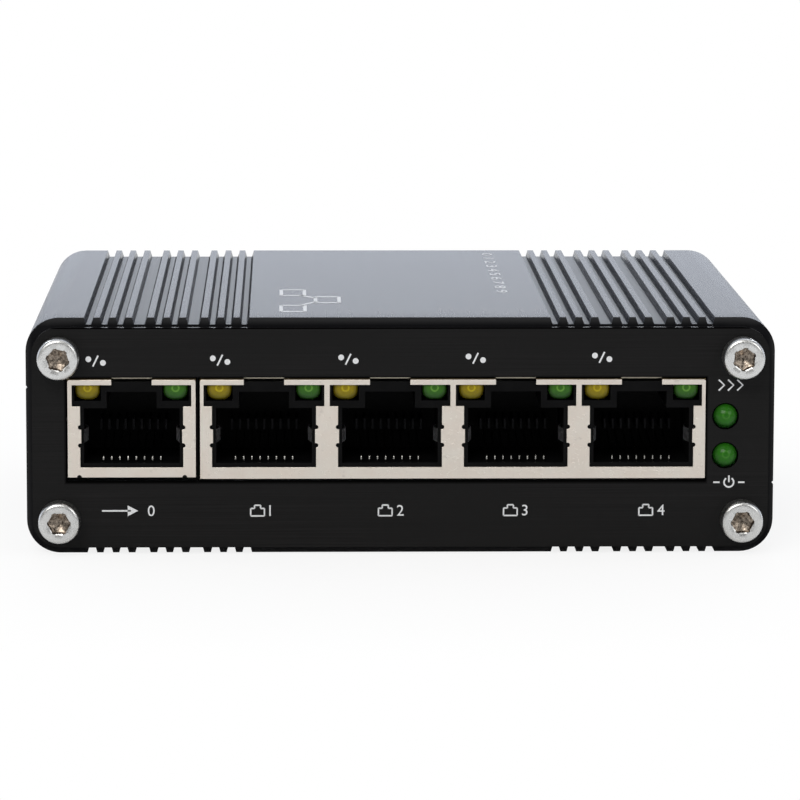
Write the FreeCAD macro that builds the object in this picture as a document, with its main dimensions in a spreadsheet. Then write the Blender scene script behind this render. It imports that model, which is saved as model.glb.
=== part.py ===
import FreeCAD, Part
import math
import os

import Sketcher

# A five-port ethernet switch in a flat ribbed aluminium case, for a 35 mm DIN rail.
# Frame: +X to the right of the front, +Y to the back, +Z up, in millimetres.
# The origin is the middle of the underside of the case.

doc = FreeCAD.newDocument("EthernetSwitch")


# ---------------------------------------------------------------------------
# Driving dimensions
# ---------------------------------------------------------------------------

SIZES = {
    # case: two like extrusions, one turned over about the Y axis
    "CaseWidth": 93.2,
    "CaseHeight": 29.55,
    "CaseDepth": 77.0,
    "CornerRadius": 4.2,
    "SideWall": 1.6,
    "TopWall": 2.3,
    "InnerRadius": 1.2,
    "SeamDrop": 8.72,
    "SeamNotch": 0.22,
    "TongueHeight": 0.7,
    "TongueClearance": 0.05,
    # cooling fins in the large faces: groups of grooves, mirrored left and right
    "FinInsetLeft": 8.85,
    "FinInsetRight": 9.11,
    "FinGroupPitch": 6.7,
    "FinGroups": 3,
    "FinPitch": 1.97,
    "FinsPerGroup": 3,
    "GrooveDepth": 0.87,
    "NarrowGroove": 0.95,
    "WideGroove": 1.65,
    "GrooveTaper": 0.25,
    "GrooveOverrun": 0.5,
    # screw channels and end plates
    "ScrewInsetX": 4.16,
    "ScrewInsetZ": 4.55,
    "ScrewDrop": 0.26,
    "ScrewThreadRadius": 1.48,
    "ChannelClearance": 0.02,
    "ChannelWall": 1.1,
    "ScrewHoleClearance": 0.12,
    "ScrewLength": 8.5,
    "ScrewHeadRadius": 2.62,
    "ScrewHeadHeight": 2.6,
    "ScrewHeadChamfer": 0.3,
    "SocketFlats": 2.5,
    "SocketDepth": 1.5,
    "PlateThickness": 1.5,
    "PlateInsetX": 0.8,
    "PlateInsetZ": 0.985,
    "PlateDrop": 0.115,
    # circuit board and the ribs that carry it
    "BoardTop": 9.53,
    "BoardThickness": 1.6,
    "BoardSideClearance": 0.15,
    "BoardTopClearance": 0.15,
    "BoardEndClearance": 0.5,
    "RibReach": 1.3,
    "RibThickness": 1.0,
    # shielded network jacks
    "JackHeight": 12.5,
    "JackDepth": 17.0,
    "JackProud": 0.15,
    "JackGap": 0.2,
    "ShieldSheet": 0.3,
    "ShieldFlap": 3.0,
    "HousingClearance": 0.05,
    "UplinkInset": 5.22,
    "JackSpacing": 0.53,
    "UplinkRim": 0.54,
    "PortsRim": 0.46,
    "PortPitch": 15.65,
    "UplinkMargin": 0.43,
    "PortsMargin": 0.51,
    "WindowBottom": 1.44,
    "UplinkLampWindow": 14.8,
    "PortsLampWindow": 14.97,
    "LedWindowBottom": 9.1,
    "LedWindowTop": 11.77,
    "LatchSlotWidth": 5.0,
    "LatchSlotTop": 12.2,
    "SocketWidth": 11.9,
    "SocketBottom": 1.95,
    "SocketTop": 8.85,
    "SocketLength": 12.6,
    "LatchWidth": 6.2,
    "LatchTop": 10.9,
    "ContactPitch": 1.016,
    "ContactCount": 8,
    "ContactWidth": 0.45,
    "ContactThickness": 0.3,
    "ContactLeg": 4.0,
    "ContactBend": 1.3,
    "ContactRise": 4.4,
    "ContactTip": 12.2,
    "ContactSlotClearance": 0.1,
    "JackLedRadius": 1.6,
    "JackLedInset": 0.35,
    "JackLedLength": 5.0,
    "JackLedDrop": 1.96,
    # round status lamps at the right
    "LampSpacing": 2.51,
    "SpeedLampZ": 17.3,
    "PowerLampZ": 12.39,
    "LampRadius": 1.55,
    "LampHoleClearance": 0.12,
    "LampProud": 1.0,
    "LampLength": 5.0,
    "LampDomeFlat": 0.03,
    "LampFlangeRadius": 1.9,
    "LampFlangeLength": 1.0,
    "LampHolderDepth": 3.0,
    "LampHolderWall": 0.45,
    "LampHolderSlot": 3.2,
    "LeadSize": 0.5,
    "LeadSpacing": 2.54,
    # power connection in the rear plate
    "HeaderInset": 9.41,
    "HeaderPoles": 3,
    "PolePitch": 3.81,
    "HeaderEnd": 0.95,
    "HeaderHeight": 7.25,
    "HeaderDepth": 9.2,
    "HeaderWall": 0.8,
    "HeaderBack": 1.2,
    "HeaderGap": 0.15,
    "PinSize": 1.0,
    "PinReach": 6.0,
    # clip for the DIN rail
    "ClipX": 8.0,
    "ClipWidth": 20.0,
    "ClipThickness": 1.0,
    "ClipBend": 0.9,
    "RailWidth": 35.0,
    "RailGap": 1.4,
    "FixedHookPlay": 0.3,
    "FixedHookReach": 2.6,
    "SpringHookPlay": 0.8,
    "SpringHookReach": 1.8,
    "LeverLength": 6.0,
    "LeverLift": 1.2,
    "ClipScrewSpacing": 16.0,
    "ClipScrewRadius": 1.48,
    "ClipHeadRadius": 2.8,
    "ClipSocketFlats": 2.0,
    "ClipSocketDepth": 0.8,
    "ClipScrewLength": 4.0,
    # components on the circuit board
    "MagneticsLength": 15.5,
    "MagneticsDepth": 9.5,
    "MagneticsHeight": 5.8,
    "MagneticsGap": 2.5,
    "ChipSize": 14.0,
    "ChipHeight": 1.4,
    "ChipStandoff": 0.1,
    "ChipLeads": 16,
    "ChipLeadPitch": 0.8,
    "ChipLeadWidth": 0.35,
    "ChipLeadReach": 1.0,
    "ChipOffset": -2.65,
    "ChipY": 5.0,
    "CrystalLength": 11.0,
    "CrystalWidth": 4.7,
    "CrystalHeight": 3.5,
    "MemoryLength": 5.0,
    "MemoryWidth": 4.0,
    "MemoryHeight": 1.5,
    "BulkCapacitorRadius": 5.0,
    "BulkCapacitorHeight": 12.5,
    "OutputCapacitorRadius": 4.0,
    "OutputCapacitorHeight": 10.2,
    "InductorSize": 10.0,
    "InductorHeight": 4.0,
    "RegulatorLength": 6.5,
    "RegulatorWidth": 6.0,
    "RegulatorHeight": 2.3,
    "FuseLength": 6.1,
    "FuseWidth": 2.7,
    "FuseHeight": 2.6,
    "DiodeLength": 6.8,
    "DiodeWidth": 5.8,
    "DiodeHeight": 2.4,
    "PartGap": 1.5,
}

sheet = doc.addObject("Spreadsheet::Sheet", "Sheet")
for row, (alias, number) in enumerate(SIZES.items(), start=1):
    sheet.set(f"A{row}", alias)
    sheet.set(f"B{row}", str(number))
    sheet.setAlias(f"B{row}", alias)
doc.recompute()


class Size:
    """A number together with the sheet formula that gives it."""

    def __init__(self, value, formula):
        self.value = value
        self.formula = formula

    def __add__(self, other):
        other = as_size(other)
        return Size(self.value + other.value, f"({self.formula} + {other.formula})")

    def __sub__(self, other):
        other = as_size(other)
        return Size(self.value - other.value, f"({self.formula} - {other.formula})")

    def __mul__(self, other):
        other = as_size(other)
        return Size(self.value * other.value, f"({self.formula} * {other.formula})")

    def __truediv__(self, other):
        other = as_size(other)
        return Size(self.value / other.value, f"({self.formula} / {other.formula})")

    def __neg__(self):
        return Size(-self.value, f"(0 - {self.formula})")

    def __radd__(self, other):
        return as_size(other) + self

    def __rsub__(self, other):
        return as_size(other) - self

    def __rmul__(self, other):
        return as_size(other) * self


def as_size(thing):
    """A Size from a Size or a plain number."""
    if isinstance(thing, Size):
        return thing
    return Size(float(thing), f"({float(thing)})")


def cell(alias):
    """The size kept in the sheet under this alias."""
    return Size(float(SIZES[alias]), f"Sheet.{alias}")


ZERO = as_size(0)


# ---------------------------------------------------------------------------
# Building blocks
# ---------------------------------------------------------------------------

def bind(thing, path, size):
    """Sets one property of an object by a sheet formula."""
    thing.setExpression(path, as_size(size).formula)


def place(thing, x=ZERO, y=ZERO, z=ZERO):
    """Moves a sub-part to a place given by the sheet."""
    start = [as_size(number).value for number in (x, y, z)]
    thing.Placement.Base = FreeCAD.Vector(*start)
    bind(thing, "Placement.Base.x", x)
    bind(thing, "Placement.Base.y", y)
    bind(thing, "Placement.Base.z", z)


def new_body(label):
    body = doc.addObject("PartDesign::Body", label)
    body.Label = label
    return body


def origin_feature(body, role):
    return next(item for item in body.Origin.OriginFeatures if item.Role == role)


def new_sketch(body, role, offset):
    """A sketch on an origin plane of the body, moved along the plane's normal."""
    sketch = body.newObject("Sketcher::SketchObject", f"{body.Name}Sketch")
    sketch.AttachmentSupport = [(origin_feature(body, role), "")]
    sketch.MapMode = "FlatFace"
    bind(sketch, "AttachmentOffset.Base.z", offset)
    return sketch


def fix_point(sketch, geometry, end, point):
    """Holds one end of a sketch line at two sheet formulas."""
    for kind, size in (("DistanceX", point[0]), ("DistanceY", point[1])):
        size = as_size(size)
        index = sketch.addConstraint(Sketcher.Constraint(kind, -1, 1, geometry, end, size.value))
        name = f"c{index}"
        sketch.renameConstraint(index, name)
        bind(sketch, f"Constraints.{name}", size)


def add_polygon(sketch, points):
    """A closed outline through the points, each held by the sheet."""
    corners = [FreeCAD.Vector(as_size(u).value, as_size(v).value, 0) for u, v in points]
    first = sketch.GeometryCount
    count = len(corners)
    for number in range(count):
        line = Part.LineSegment(corners[number], corners[(number + 1) % count])
        sketch.addGeometry(line, False)
    for number in range(count):
        following = first + (number + 1) % count
        sketch.addConstraint(Sketcher.Constraint("Coincident", first + number, 2, following, 1))
    for number in range(count):
        fix_point(sketch, first + number, 1, points[number])


def add_rectangle(sketch, low, high):
    add_polygon(sketch, [low, (high[0], low[1]), high, (low[0], high[1])])


def add_circle(sketch, centre, radius):
    """A circle whose centre and radius are held by the sheet."""
    middle = FreeCAD.Vector(as_size(centre[0]).value, as_size(centre[1]).value, 0)
    radius = as_size(radius)
    circle = sketch.addGeometry(Part.Circle(middle, FreeCAD.Vector(0, 0, 1), radius.value), False)
    fix_point(sketch, circle, 3, centre)
    index = sketch.addConstraint(Sketcher.Constraint("Radius", circle, radius.value))
    name = f"c{index}"
    sketch.renameConstraint(index, name)
    bind(sketch, f"Constraints.{name}", radius)


def pad(body, sketch, length):
    feature = body.newObject("PartDesign::Pad", f"{body.Name}Pad")
    feature.Profile = sketch
    bind(feature, "Length", length)
    return feature


def pocket(body, sketch, length):
    """Cuts along the sketch's own normal, as a pad would grow."""
    doc.recompute()
    before = body.Shape.Volume
    feature = body.newObject("PartDesign::Pocket", f"{body.Name}Pocket")
    feature.Profile = sketch
    feature.Reversed = True
    bind(feature, "Length", length)
    doc.recompute()
    if body.Shape.Volume >= before:
        raise RuntimeError(f"{feature.Name} cuts nothing")
    return feature


# A sketch on XZ_Plane faces -Y, so a pad from it grows towards the front.

def front_sketch(body, back_y):
    """A sketch seen from the front, at the back of what is made from it."""
    return new_sketch(body, "XZ_Plane", -as_size(back_y))


def plan_sketch(body, bottom_z):
    return new_sketch(body, "XY_Plane", bottom_z)


def side_sketch(body, left_x):
    return new_sketch(body, "YZ_Plane", left_x)


def revolve(body, sketch, role):
    """Turns the sketch's outline about an axis of the body's origin."""
    feature = body.newObject("PartDesign::Revolution", f"{body.Name}Revolution")
    feature.Profile = sketch
    feature.ReferenceAxis = (origin_feature(body, role), [""])
    feature.Angle = 360
    return feature


def row_of(body, feature, role, spacing, count):
    """Repeats a feature along an origin axis as separate solids."""
    body.AllowCompound = True
    pattern = body.newObject("PartDesign::LinearPattern", f"{body.Name}Row")
    pattern.Originals = [feature]
    pattern.Direction = (origin_feature(body, role), [""])
    pattern.Mode = "Spacing"
    bind(pattern, "Offset", spacing)
    bind(pattern, "Occurrences", count)
    body.Tip = pattern
    return pattern


def edges_along(shape, axis, tests):
    """Names of straight edges parallel to an axis that pass near one of the points."""
    found = []
    for number, edge in enumerate(shape.Edges, start=1):
        if edge.Curve.TypeId != "Part::GeomLine":
            continue
        run = edge.Vertexes[-1].Point - edge.Vertexes[0].Point
        if abs(abs(run.normalize().dot(axis)) - 1) > 1e-6:
            continue
        middle = edge.CenterOfMass
        for point in tests:
            offset = middle - point
            if (offset - axis * offset.dot(axis)).Length < 1e-4:
                found.append(f"Edge{number}")
    return found


def round_edges(body, axis, points, radius):
    """Rounds the straight edges along an axis through the points."""
    doc.recompute()
    names = edges_along(body.Tip.Shape, axis, points)
    if len(names) != len(points):
        raise RuntimeError(f"{body.Label}: {len(names)} edges for {len(points)} corners")
    base = body.Tip
    feature = body.newObject("PartDesign::Fillet", f"{body.Name}Fillet")
    feature.Base = (base, names)
    bind(feature, "Radius", radius)
    return feature


def vector_at(x, y, z):
    return FreeCAD.Vector(as_size(x).value, as_size(y).value, as_size(z).value)


X_AXIS = FreeCAD.Vector(1, 0, 0)
Y_AXIS = FreeCAD.Vector(0, 1, 0)
Z_AXIS = FreeCAD.Vector(0, 0, 1)


def block(label, low, size):
    """A plain block by its lowest corner and its three sizes."""
    box = doc.addObject("Part::Box", label)
    box.Label = label
    bind(box, "Length", size[0])
    bind(box, "Width", size[1])
    bind(box, "Height", size[2])
    place(box, *low)
    return box


def upright_cylinder(label, centre, radius, height):
    cylinder = doc.addObject("Part::Cylinder", label)
    cylinder.Label = label
    bind(cylinder, "Radius", radius)
    bind(cylinder, "Height", height)
    place(cylinder, *centre)
    return cylinder


def group(label, members):
    """Several like solids kept as one sub-part."""
    compound = doc.addObject("Part::Compound", label)
    compound.Label = label
    compound.Links = members
    return compound


# ---------------------------------------------------------------------------
# Sizes that more than one sub-part uses
# ---------------------------------------------------------------------------

half_width = cell("CaseWidth") / 2
half_depth = cell("CaseDepth") / 2
height = cell("CaseHeight")
middle_z = height / 2
wall = cell("SideWall")
inner_x = half_width - wall
ceiling = height - cell("TopWall")
seam_high = height - cell("SeamDrop")
seam_low = cell("SeamDrop")

case_front = -half_depth
case_back = half_depth
plate_front = case_front - cell("PlateThickness")
plate_back = case_back + cell("PlateThickness")

board_top = cell("BoardTop")
board_bottom = board_top - cell("BoardThickness")
channel_radius = cell("ScrewThreadRadius") + cell("ChannelClearance")
plate_hole_radius = cell("ScrewThreadRadius") + cell("ScrewHoleClearance")

jack_front = plate_front - cell("JackProud")
jack_back = jack_front + cell("JackDepth")
jack_bottom = board_top
jack_top = jack_bottom + cell("JackHeight")
housing_front = jack_front + cell("ShieldSheet")
housing_back = jack_back - cell("ShieldSheet")

uplink_width = cell("UplinkLampWindow") + 2 * cell("UplinkRim")
ports_width = 3 * cell("PortPitch") + cell("PortsLampWindow") + 2 * cell("PortsRim")
uplink_centre = cell("UplinkInset") - half_width + uplink_width / 2
ports_centre = uplink_centre + uplink_width / 2 + cell("JackSpacing") + ports_width / 2
lamp_x = ports_centre + ports_width / 2 + cell("LampSpacing")

header_half_width = (cell("PolePitch") * cell("HeaderPoles") + cell("HeaderEnd")) / 2
header_x = cell("HeaderInset") - half_width + header_half_width
header_front = plate_back - cell("HeaderDepth")
pin_z = board_top + cell("HeaderHeight") / 2
clip_back = plate_back + cell("ClipThickness")

port_offsets = [(number - 1.5) * cell("PortPitch") for number in range(4)]
port_centres = [ports_centre + offset for offset in port_offsets]
chip_x = ports_centre + cell("ChipOffset")


def screw_places():
    """The four corner screws as (x, z) pairs, all a little below the middle of the case."""
    x = half_width - cell("ScrewInsetX")
    low = cell("ScrewInsetZ") - cell("ScrewDrop")
    high = height - cell("ScrewInsetZ") - cell("ScrewDrop")
    return [(-x, low), (x, low), (x, high), (-x, high)]


# ---------------------------------------------------------------------------
# Case
# ---------------------------------------------------------------------------

def add_groove(sketch, side, middle, width):
    """One slanted-sided groove, wider at the face than at its floor."""
    floor = height - cell("GrooveDepth")
    overrun = cell("GrooveOverrun")
    slope = cell("GrooveTaper") / cell("GrooveDepth") * overrun
    half_floor = (width - cell("GrooveTaper")) / 2
    half_top = (width + cell("GrooveTaper")) / 2 + slope
    points = [
        (middle - half_floor, floor),
        (middle + half_floor, floor),
        (middle + half_top, height + overrun),
        (middle - half_top, height + overrun),
    ]
    add_polygon(sketch, [(side * u, v) for u, v in points])


def add_grooves(sketch, side):
    """All grooves of one half: narrow between fins, wide between groups of fins."""
    groups = int(SIZES["FinGroups"])
    fins = int(SIZES["FinsPerGroup"])
    pitch = cell("FinPitch")
    narrow = cell("NarrowGroove")
    outermost = half_width - cell("FinInsetLeft" if side < 0 else "FinInsetRight")
    innermost = outermost - cell("FinGroupPitch") * (groups - 1) - pitch * (fins - 1)
    for number in range(groups):
        first = innermost + cell("FinGroupPitch") * number
        last = first + pitch * (fins - 1)
        for fin in range(fins - 1):
            add_groove(sketch, side, first + pitch * (fin + 0.5), narrow)
        if number == 0:
            add_groove(sketch, side, first - pitch / 2, narrow)
        if number == groups - 1:
            add_groove(sketch, side, last + pitch / 2, narrow)
        else:
            add_groove(sketch, side, (last + first + cell("FinGroupPitch")) / 2, cell("WideGroove"))


def make_shell(label, drop):
    """One extrusion: the large face, a long right wall and a short left wall."""
    body = new_body(label)
    depth = cell("CaseDepth")
    notch = cell("SeamNotch")
    half_wall = wall / 2
    tongue = cell("TongueHeight")
    gap = cell("TongueClearance")

    section = front_sketch(body, case_back)
    add_polygon(section, [
        (-half_width, seam_high + notch),
        (-half_width, height),
        (half_width, height),
        (half_width, seam_low + notch),
        (half_width - notch, seam_low),
        (half_width - half_wall, seam_low),
        (half_width - half_wall, seam_low - tongue),
        (inner_x, seam_low - tongue),
        (inner_x, ceiling),
        (-inner_x, ceiling),
        (-inner_x, seam_high + tongue + gap),
        (-half_width + half_wall - gap, seam_high + tongue + gap),
        (-half_width + half_wall - gap, seam_high),
        (-half_width + notch, seam_high),
    ])
    pad(body, section, depth)

    corners = [vector_at(side * half_width, 0, height) for side in (-1, 1)]
    round_edges(body, Y_AXIS, corners, cell("CornerRadius"))
    inner_corners = [vector_at(side * inner_x, 0, ceiling) for side in (-1, 1)]
    round_edges(body, Y_AXIS, inner_corners, cell("InnerRadius"))

    channel_x = half_width - cell("ScrewInsetX")
    channel_z = height - cell("ScrewInsetZ") - drop
    channels = front_sketch(body, case_back)
    for side in (-1, 1):
        add_circle(channels, (side * channel_x, channel_z), channel_radius + cell("ChannelWall"))
    pad(body, channels, depth)

    ribs = front_sketch(body, case_back)
    reach = cell("RibReach")
    thickness = cell("RibThickness")
    under_board = height - board_bottom
    over_board = board_top + cell("BoardTopClearance")
    add_rectangle(ribs, (-inner_x, under_board), (-inner_x + reach, under_board + thickness))
    add_rectangle(ribs, (inner_x - reach, under_board), (inner_x, under_board + thickness))
    above = height - over_board
    add_rectangle(ribs, (inner_x - reach, above - thickness), (inner_x, above))
    add_rectangle(ribs, (inner_x - reach, over_board), (inner_x, over_board + thickness))
    pad(body, ribs, depth)

    holes = front_sketch(body, case_back)
    for side in (-1, 1):
        add_circle(holes, (side * channel_x, channel_z), channel_radius)
    pocket(body, holes, depth)

    for side in (-1, 1):
        fins = front_sketch(body, case_back)
        add_grooves(fins, side)
        pocket(body, fins, depth)
    return body


def make_case():
    make_shell("upper_shell", cell("ScrewDrop"))
    lower = make_shell("lower_shell", -cell("ScrewDrop"))
    lower.Placement.Rotation = FreeCAD.Rotation(Y_AXIS, 180)
    lower.Placement.Base.z = height.value
    bind(lower, "Placement.Base.z", height)


def plate_corners():
    """Half the width, the bottom and the top of an end plate, which hangs a little low."""
    x = half_width - cell("PlateInsetX")
    drop = cell("PlateDrop")
    return x, cell("PlateInsetZ") - drop, height - cell("PlateInsetZ") - drop


def make_plate(label, back_y):
    """A flat end plate with rounded corners and its four screw holes."""
    body = new_body(label)
    x, bottom, top = plate_corners()
    outline = front_sketch(body, back_y)
    add_rectangle(outline, (-x, bottom), (x, top))
    pad(body, outline, cell("PlateThickness"))
    corners = [vector_at(side * x, 0, z) for side in (-1, 1) for z in (bottom, top)]
    round_edges(body, Y_AXIS, corners, cell("CornerRadius") - cell("PlateInsetX"))
    holes = front_sketch(body, back_y)
    for place_x, place_z in screw_places():
        add_circle(holes, (place_x, place_z), plate_hole_radius)
    pocket(body, holes, cell("PlateThickness"))
    return body


def make_front_plate():
    body = make_plate("front_plate", case_front)
    gap = cell("JackGap")
    cuts = front_sketch(body, case_front)
    for centre, width in ((uplink_centre, uplink_width), (ports_centre, ports_width)):
        half = width / 2
        low = (centre - half - gap, jack_bottom - gap)
        high = (centre + half + gap, jack_top + gap)
        add_rectangle(cuts, low, high)
    pocket(body, cuts, cell("PlateThickness"))
    lamps = front_sketch(body, case_front)
    for z in (cell("SpeedLampZ"), cell("PowerLampZ")):
        add_circle(lamps, (lamp_x, z), cell("LampRadius") + cell("LampHoleClearance"))
    pocket(body, lamps, cell("PlateThickness"))


def make_rear_plate():
    body = make_plate("rear_plate", plate_back)
    gap = cell("HeaderGap")
    cut = front_sketch(body, plate_back)
    half = header_half_width + gap
    low = (header_x - half, board_top - gap)
    high = (header_x + half, board_top + cell("HeaderHeight") + gap)
    add_rectangle(cut, low, high)
    pocket(body, cut, cell("PlateThickness"))
    holes = front_sketch(body, plate_back)
    for side in (-1, 1):
        x = cell("ClipX") + side * cell("ClipScrewSpacing") / 2
        add_circle(holes, (x, middle_z), cell("ClipScrewRadius") + cell("ChannelClearance"))
    pocket(body, holes, cell("PlateThickness"))
    for side in (-1, 1):
        cut_countersink(body, side, plate_back)


def cut_countersink(body, side, face_y):
    """Cuts the conical seat of one clip screw head, from a flat face towards the front."""
    x = cell("ClipX") + side * cell("ClipScrewSpacing") / 2
    clearance = cell("ChannelClearance")
    radius = cell("ClipHeadRadius") + clearance - (clip_back - as_size(face_y))
    mouth = front_sketch(body, face_y)
    add_circle(mouth, (x, middle_z), radius)
    cone = pocket(body, mouth, radius - cell("ClipScrewRadius") - clearance)
    cone.TaperAngle = -45


# ---------------------------------------------------------------------------
# Fasteners
# ---------------------------------------------------------------------------

def hexagon(flats, turn):
    """Corners of a hexagon by its width over the flats, turned by some degrees."""
    reach = flats / math.sqrt(3)
    angles = [math.radians(turn + 60 * side) for side in range(6)]
    return [(reach * math.cos(angle), reach * math.sin(angle)) for angle in angles]


def make_cap_screw(label, x, seat_y, z, outward, turn):
    """A socket cap screw along Y, its head seated at seat_y and pointing outward."""
    body = new_body(label)
    head = cell("ScrewHeadHeight")
    rim = cell("ScrewHeadRadius")
    chamfer = cell("ScrewHeadChamfer")
    shank = cell("ScrewThreadRadius")
    length = cell("ScrewLength")
    profile = new_sketch(body, "YZ_Plane", ZERO)
    add_polygon(profile, [
        (-head, ZERO),
        (-head, rim - chamfer),
        (-head + chamfer, rim),
        (ZERO, rim),
        (ZERO, shank),
        (length, shank),
        (length, ZERO),
    ])
    revolve(body, profile, "Y_Axis")
    socket = front_sketch(body, -head + cell("SocketDepth"))
    add_polygon(socket, hexagon(cell("SocketFlats"), turn))
    pocket(body, socket, cell("SocketDepth"))
    if outward > 0:
        body.Placement.Rotation = FreeCAD.Rotation(Z_AXIS, 180)
    place(body, x, seat_y, z)
    return body


FRONT_SOCKET_TURNS = (0, 3, 24, 47)
REAR_SOCKET_TURNS = (12, 35, 8, 51)


def make_plate_screws():
    """Four screws in each end plate, their sockets turned as they were tightened."""
    front = []
    rear = []
    for number, (x, z) in enumerate(screw_places()):
        front_name = f"front_screw_{number + 1}"
        front.append(make_cap_screw(front_name, x, plate_front, z, -1, FRONT_SOCKET_TURNS[number]))
        rear_name = f"rear_screw_{number + 1}"
        rear.append(make_cap_screw(rear_name, x, plate_back, z, 1, REAR_SOCKET_TURNS[number]))
    group("front_plate_screws", front)
    group("rear_plate_screws", rear)


# ---------------------------------------------------------------------------
# Circuit board and its components
# ---------------------------------------------------------------------------

board_half_width = inner_x - cell("BoardSideClearance")
board_front = case_front + cell("BoardEndClearance")
board_back = case_back - cell("BoardEndClearance")


def make_board():
    low = (-board_half_width, board_front, board_bottom)
    block("circuit_board", low, (2 * board_half_width, board_back - board_front, cell("BoardThickness")))


def seated(label, centre_x, centre_y, length, width, tall):
    """A component block standing on the circuit board."""
    low = (centre_x - length / 2, centre_y - width / 2, board_top)
    return block(label, low, (length, width, tall))


def make_magnetics():
    """Line transformers in a row behind the jacks."""
    length = cell("MagneticsLength")
    y = jack_back + cell("MagneticsGap") + cell("MagneticsDepth") / 2
    places = {
        "uplink_magnetics": uplink_centre,
        "port_magnetics_left": ports_centre - cell("PortPitch"),
        "port_magnetics_right": ports_centre + cell("PortPitch"),
    }
    for label, x in places.items():
        seated(label, x, y, length, cell("MagneticsDepth"), cell("MagneticsHeight"))


def make_switch_chip():
    """A square flat package with leads on its four sides."""
    size = cell("ChipSize")
    x = chip_x
    y = cell("ChipY")
    low = (x - size / 2, y - size / 2, board_top + cell("ChipStandoff"))
    block("switch_chip", low, (size, size, cell("ChipHeight")))
    lead = cell("ChipLeadWidth")
    reach = cell("ChipLeadReach")
    half_row = (cell("ChipLeads") - 1) * cell("ChipLeadPitch") / 2
    drop = cell("ChipStandoff") + cell("ChipHeight") / 2
    rows = []
    for turn in range(4):
        body = new_body(f"chip_lead_row_{turn + 1}")
        start = -half_row - lead / 2
        profile = side_sketch(body, start)
        inner = -size / 2
        add_polygon(profile, [
            (inner, drop),
            (inner - reach / 2, drop),
            (inner - reach / 2, lead / 2),
            (inner - reach, lead / 2),
            (inner - reach, ZERO),
            (inner - reach / 2 + lead / 2, ZERO),
            (inner - reach / 2 + lead / 2, drop - lead / 2),
            (inner, drop - lead / 2),
        ])
        one = pad(body, profile, lead)
        row_of(body, one, "X_Axis", cell("ChipLeadPitch"), cell("ChipLeads"))
        body.Placement.Rotation = FreeCAD.Rotation(Z_AXIS, 90 * turn)
        place(body, x, y, board_top)
        rows.append(body)
    return group("switch_chip_leads", rows)


def make_power_parts():
    """Supply components in three rows between the power header and the front."""
    gap = cell("PartGap")
    left = header_x - header_half_width
    back = header_front - cell("PinSize") - gap

    fuse_x = left + cell("FuseLength") / 2
    fuse_y = back - cell("FuseWidth") / 2
    seated("input_fuse", fuse_x, fuse_y, cell("FuseLength"), cell("FuseWidth"), cell("FuseHeight"))

    diode_x = left + cell("FuseLength") + gap + cell("DiodeLength") / 2
    diode_y = back - cell("DiodeWidth") / 2
    seated("surge_diode", diode_x, diode_y, cell("DiodeLength"), cell("DiodeWidth"), cell("DiodeHeight"))

    regulator_x = diode_x + cell("DiodeLength") / 2 + gap + cell("RegulatorLength") / 2
    regulator_y = back - cell("RegulatorWidth") / 2
    seated("regulator_chip", regulator_x, regulator_y, cell("RegulatorLength"), cell("RegulatorWidth"),
           cell("RegulatorHeight"))

    bulk_radius = cell("BulkCapacitorRadius")
    bulk_x = left + bulk_radius
    bulk_y = back - cell("DiodeWidth") - gap - bulk_radius
    upright_cylinder("bulk_capacitor", (bulk_x, bulk_y, board_top), bulk_radius, cell("BulkCapacitorHeight"))

    inductor = cell("InductorSize")
    inductor_x = bulk_x + bulk_radius + gap + inductor / 2
    inductor_y = back - cell("DiodeWidth") - gap - cell("RegulatorWidth") / 2 - inductor / 2
    seated("power_inductor", inductor_x, inductor_y, inductor, inductor, cell("InductorHeight"))

    output_radius = cell("OutputCapacitorRadius")
    output_x = left + output_radius
    output_y = bulk_y - bulk_radius - gap - output_radius
    upright_cylinder("output_capacitor", (output_x, output_y, board_top), output_radius,
                     cell("OutputCapacitorHeight"))


def make_clock_and_memory():
    """A crystal can and a small memory chip at the right of the switch chip."""
    gap = cell("PartGap")
    left = chip_x + cell("ChipSize") / 2 + cell("ChipLeadReach") + 2 * gap
    crystal_x = left + cell("CrystalLength") / 2
    crystal_y = cell("ChipY") + gap + cell("CrystalWidth") / 2
    seated("crystal", crystal_x, crystal_y, cell("CrystalLength"), cell("CrystalWidth"),
           cell("CrystalHeight"))
    memory_x = left + cell("MemoryLength") / 2
    memory_y = cell("ChipY") - gap - cell("MemoryWidth") / 2
    seated("config_memory", memory_x, memory_y, cell("MemoryLength"), cell("MemoryWidth"),
           cell("MemoryHeight"))


# ---------------------------------------------------------------------------
# Network jacks
# ---------------------------------------------------------------------------

def add_window(sketch, x, margin, lamp_window):
    """The opening in the shield's front for one port, its lamps and its latch."""
    half = cell("SocketWidth") / 2 + margin
    lamp_half = lamp_window / 2
    latch_half = cell("LatchSlotWidth") / 2
    bottom = jack_bottom + cell("WindowBottom")
    shoulder = jack_bottom + cell("LedWindowBottom")
    rim = jack_bottom + cell("LedWindowTop")
    slot = jack_bottom + cell("LatchSlotTop")
    add_polygon(sketch, [
        (x - half, bottom),
        (x + half, bottom),
        (x + half, shoulder),
        (x + lamp_half, shoulder),
        (x + lamp_half, rim),
        (x + latch_half, rim),
        (x + latch_half, slot),
        (x - latch_half, slot),
        (x - latch_half, rim),
        (x - lamp_half, rim),
        (x - lamp_half, shoulder),
        (x - half, shoulder),
    ])


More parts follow.
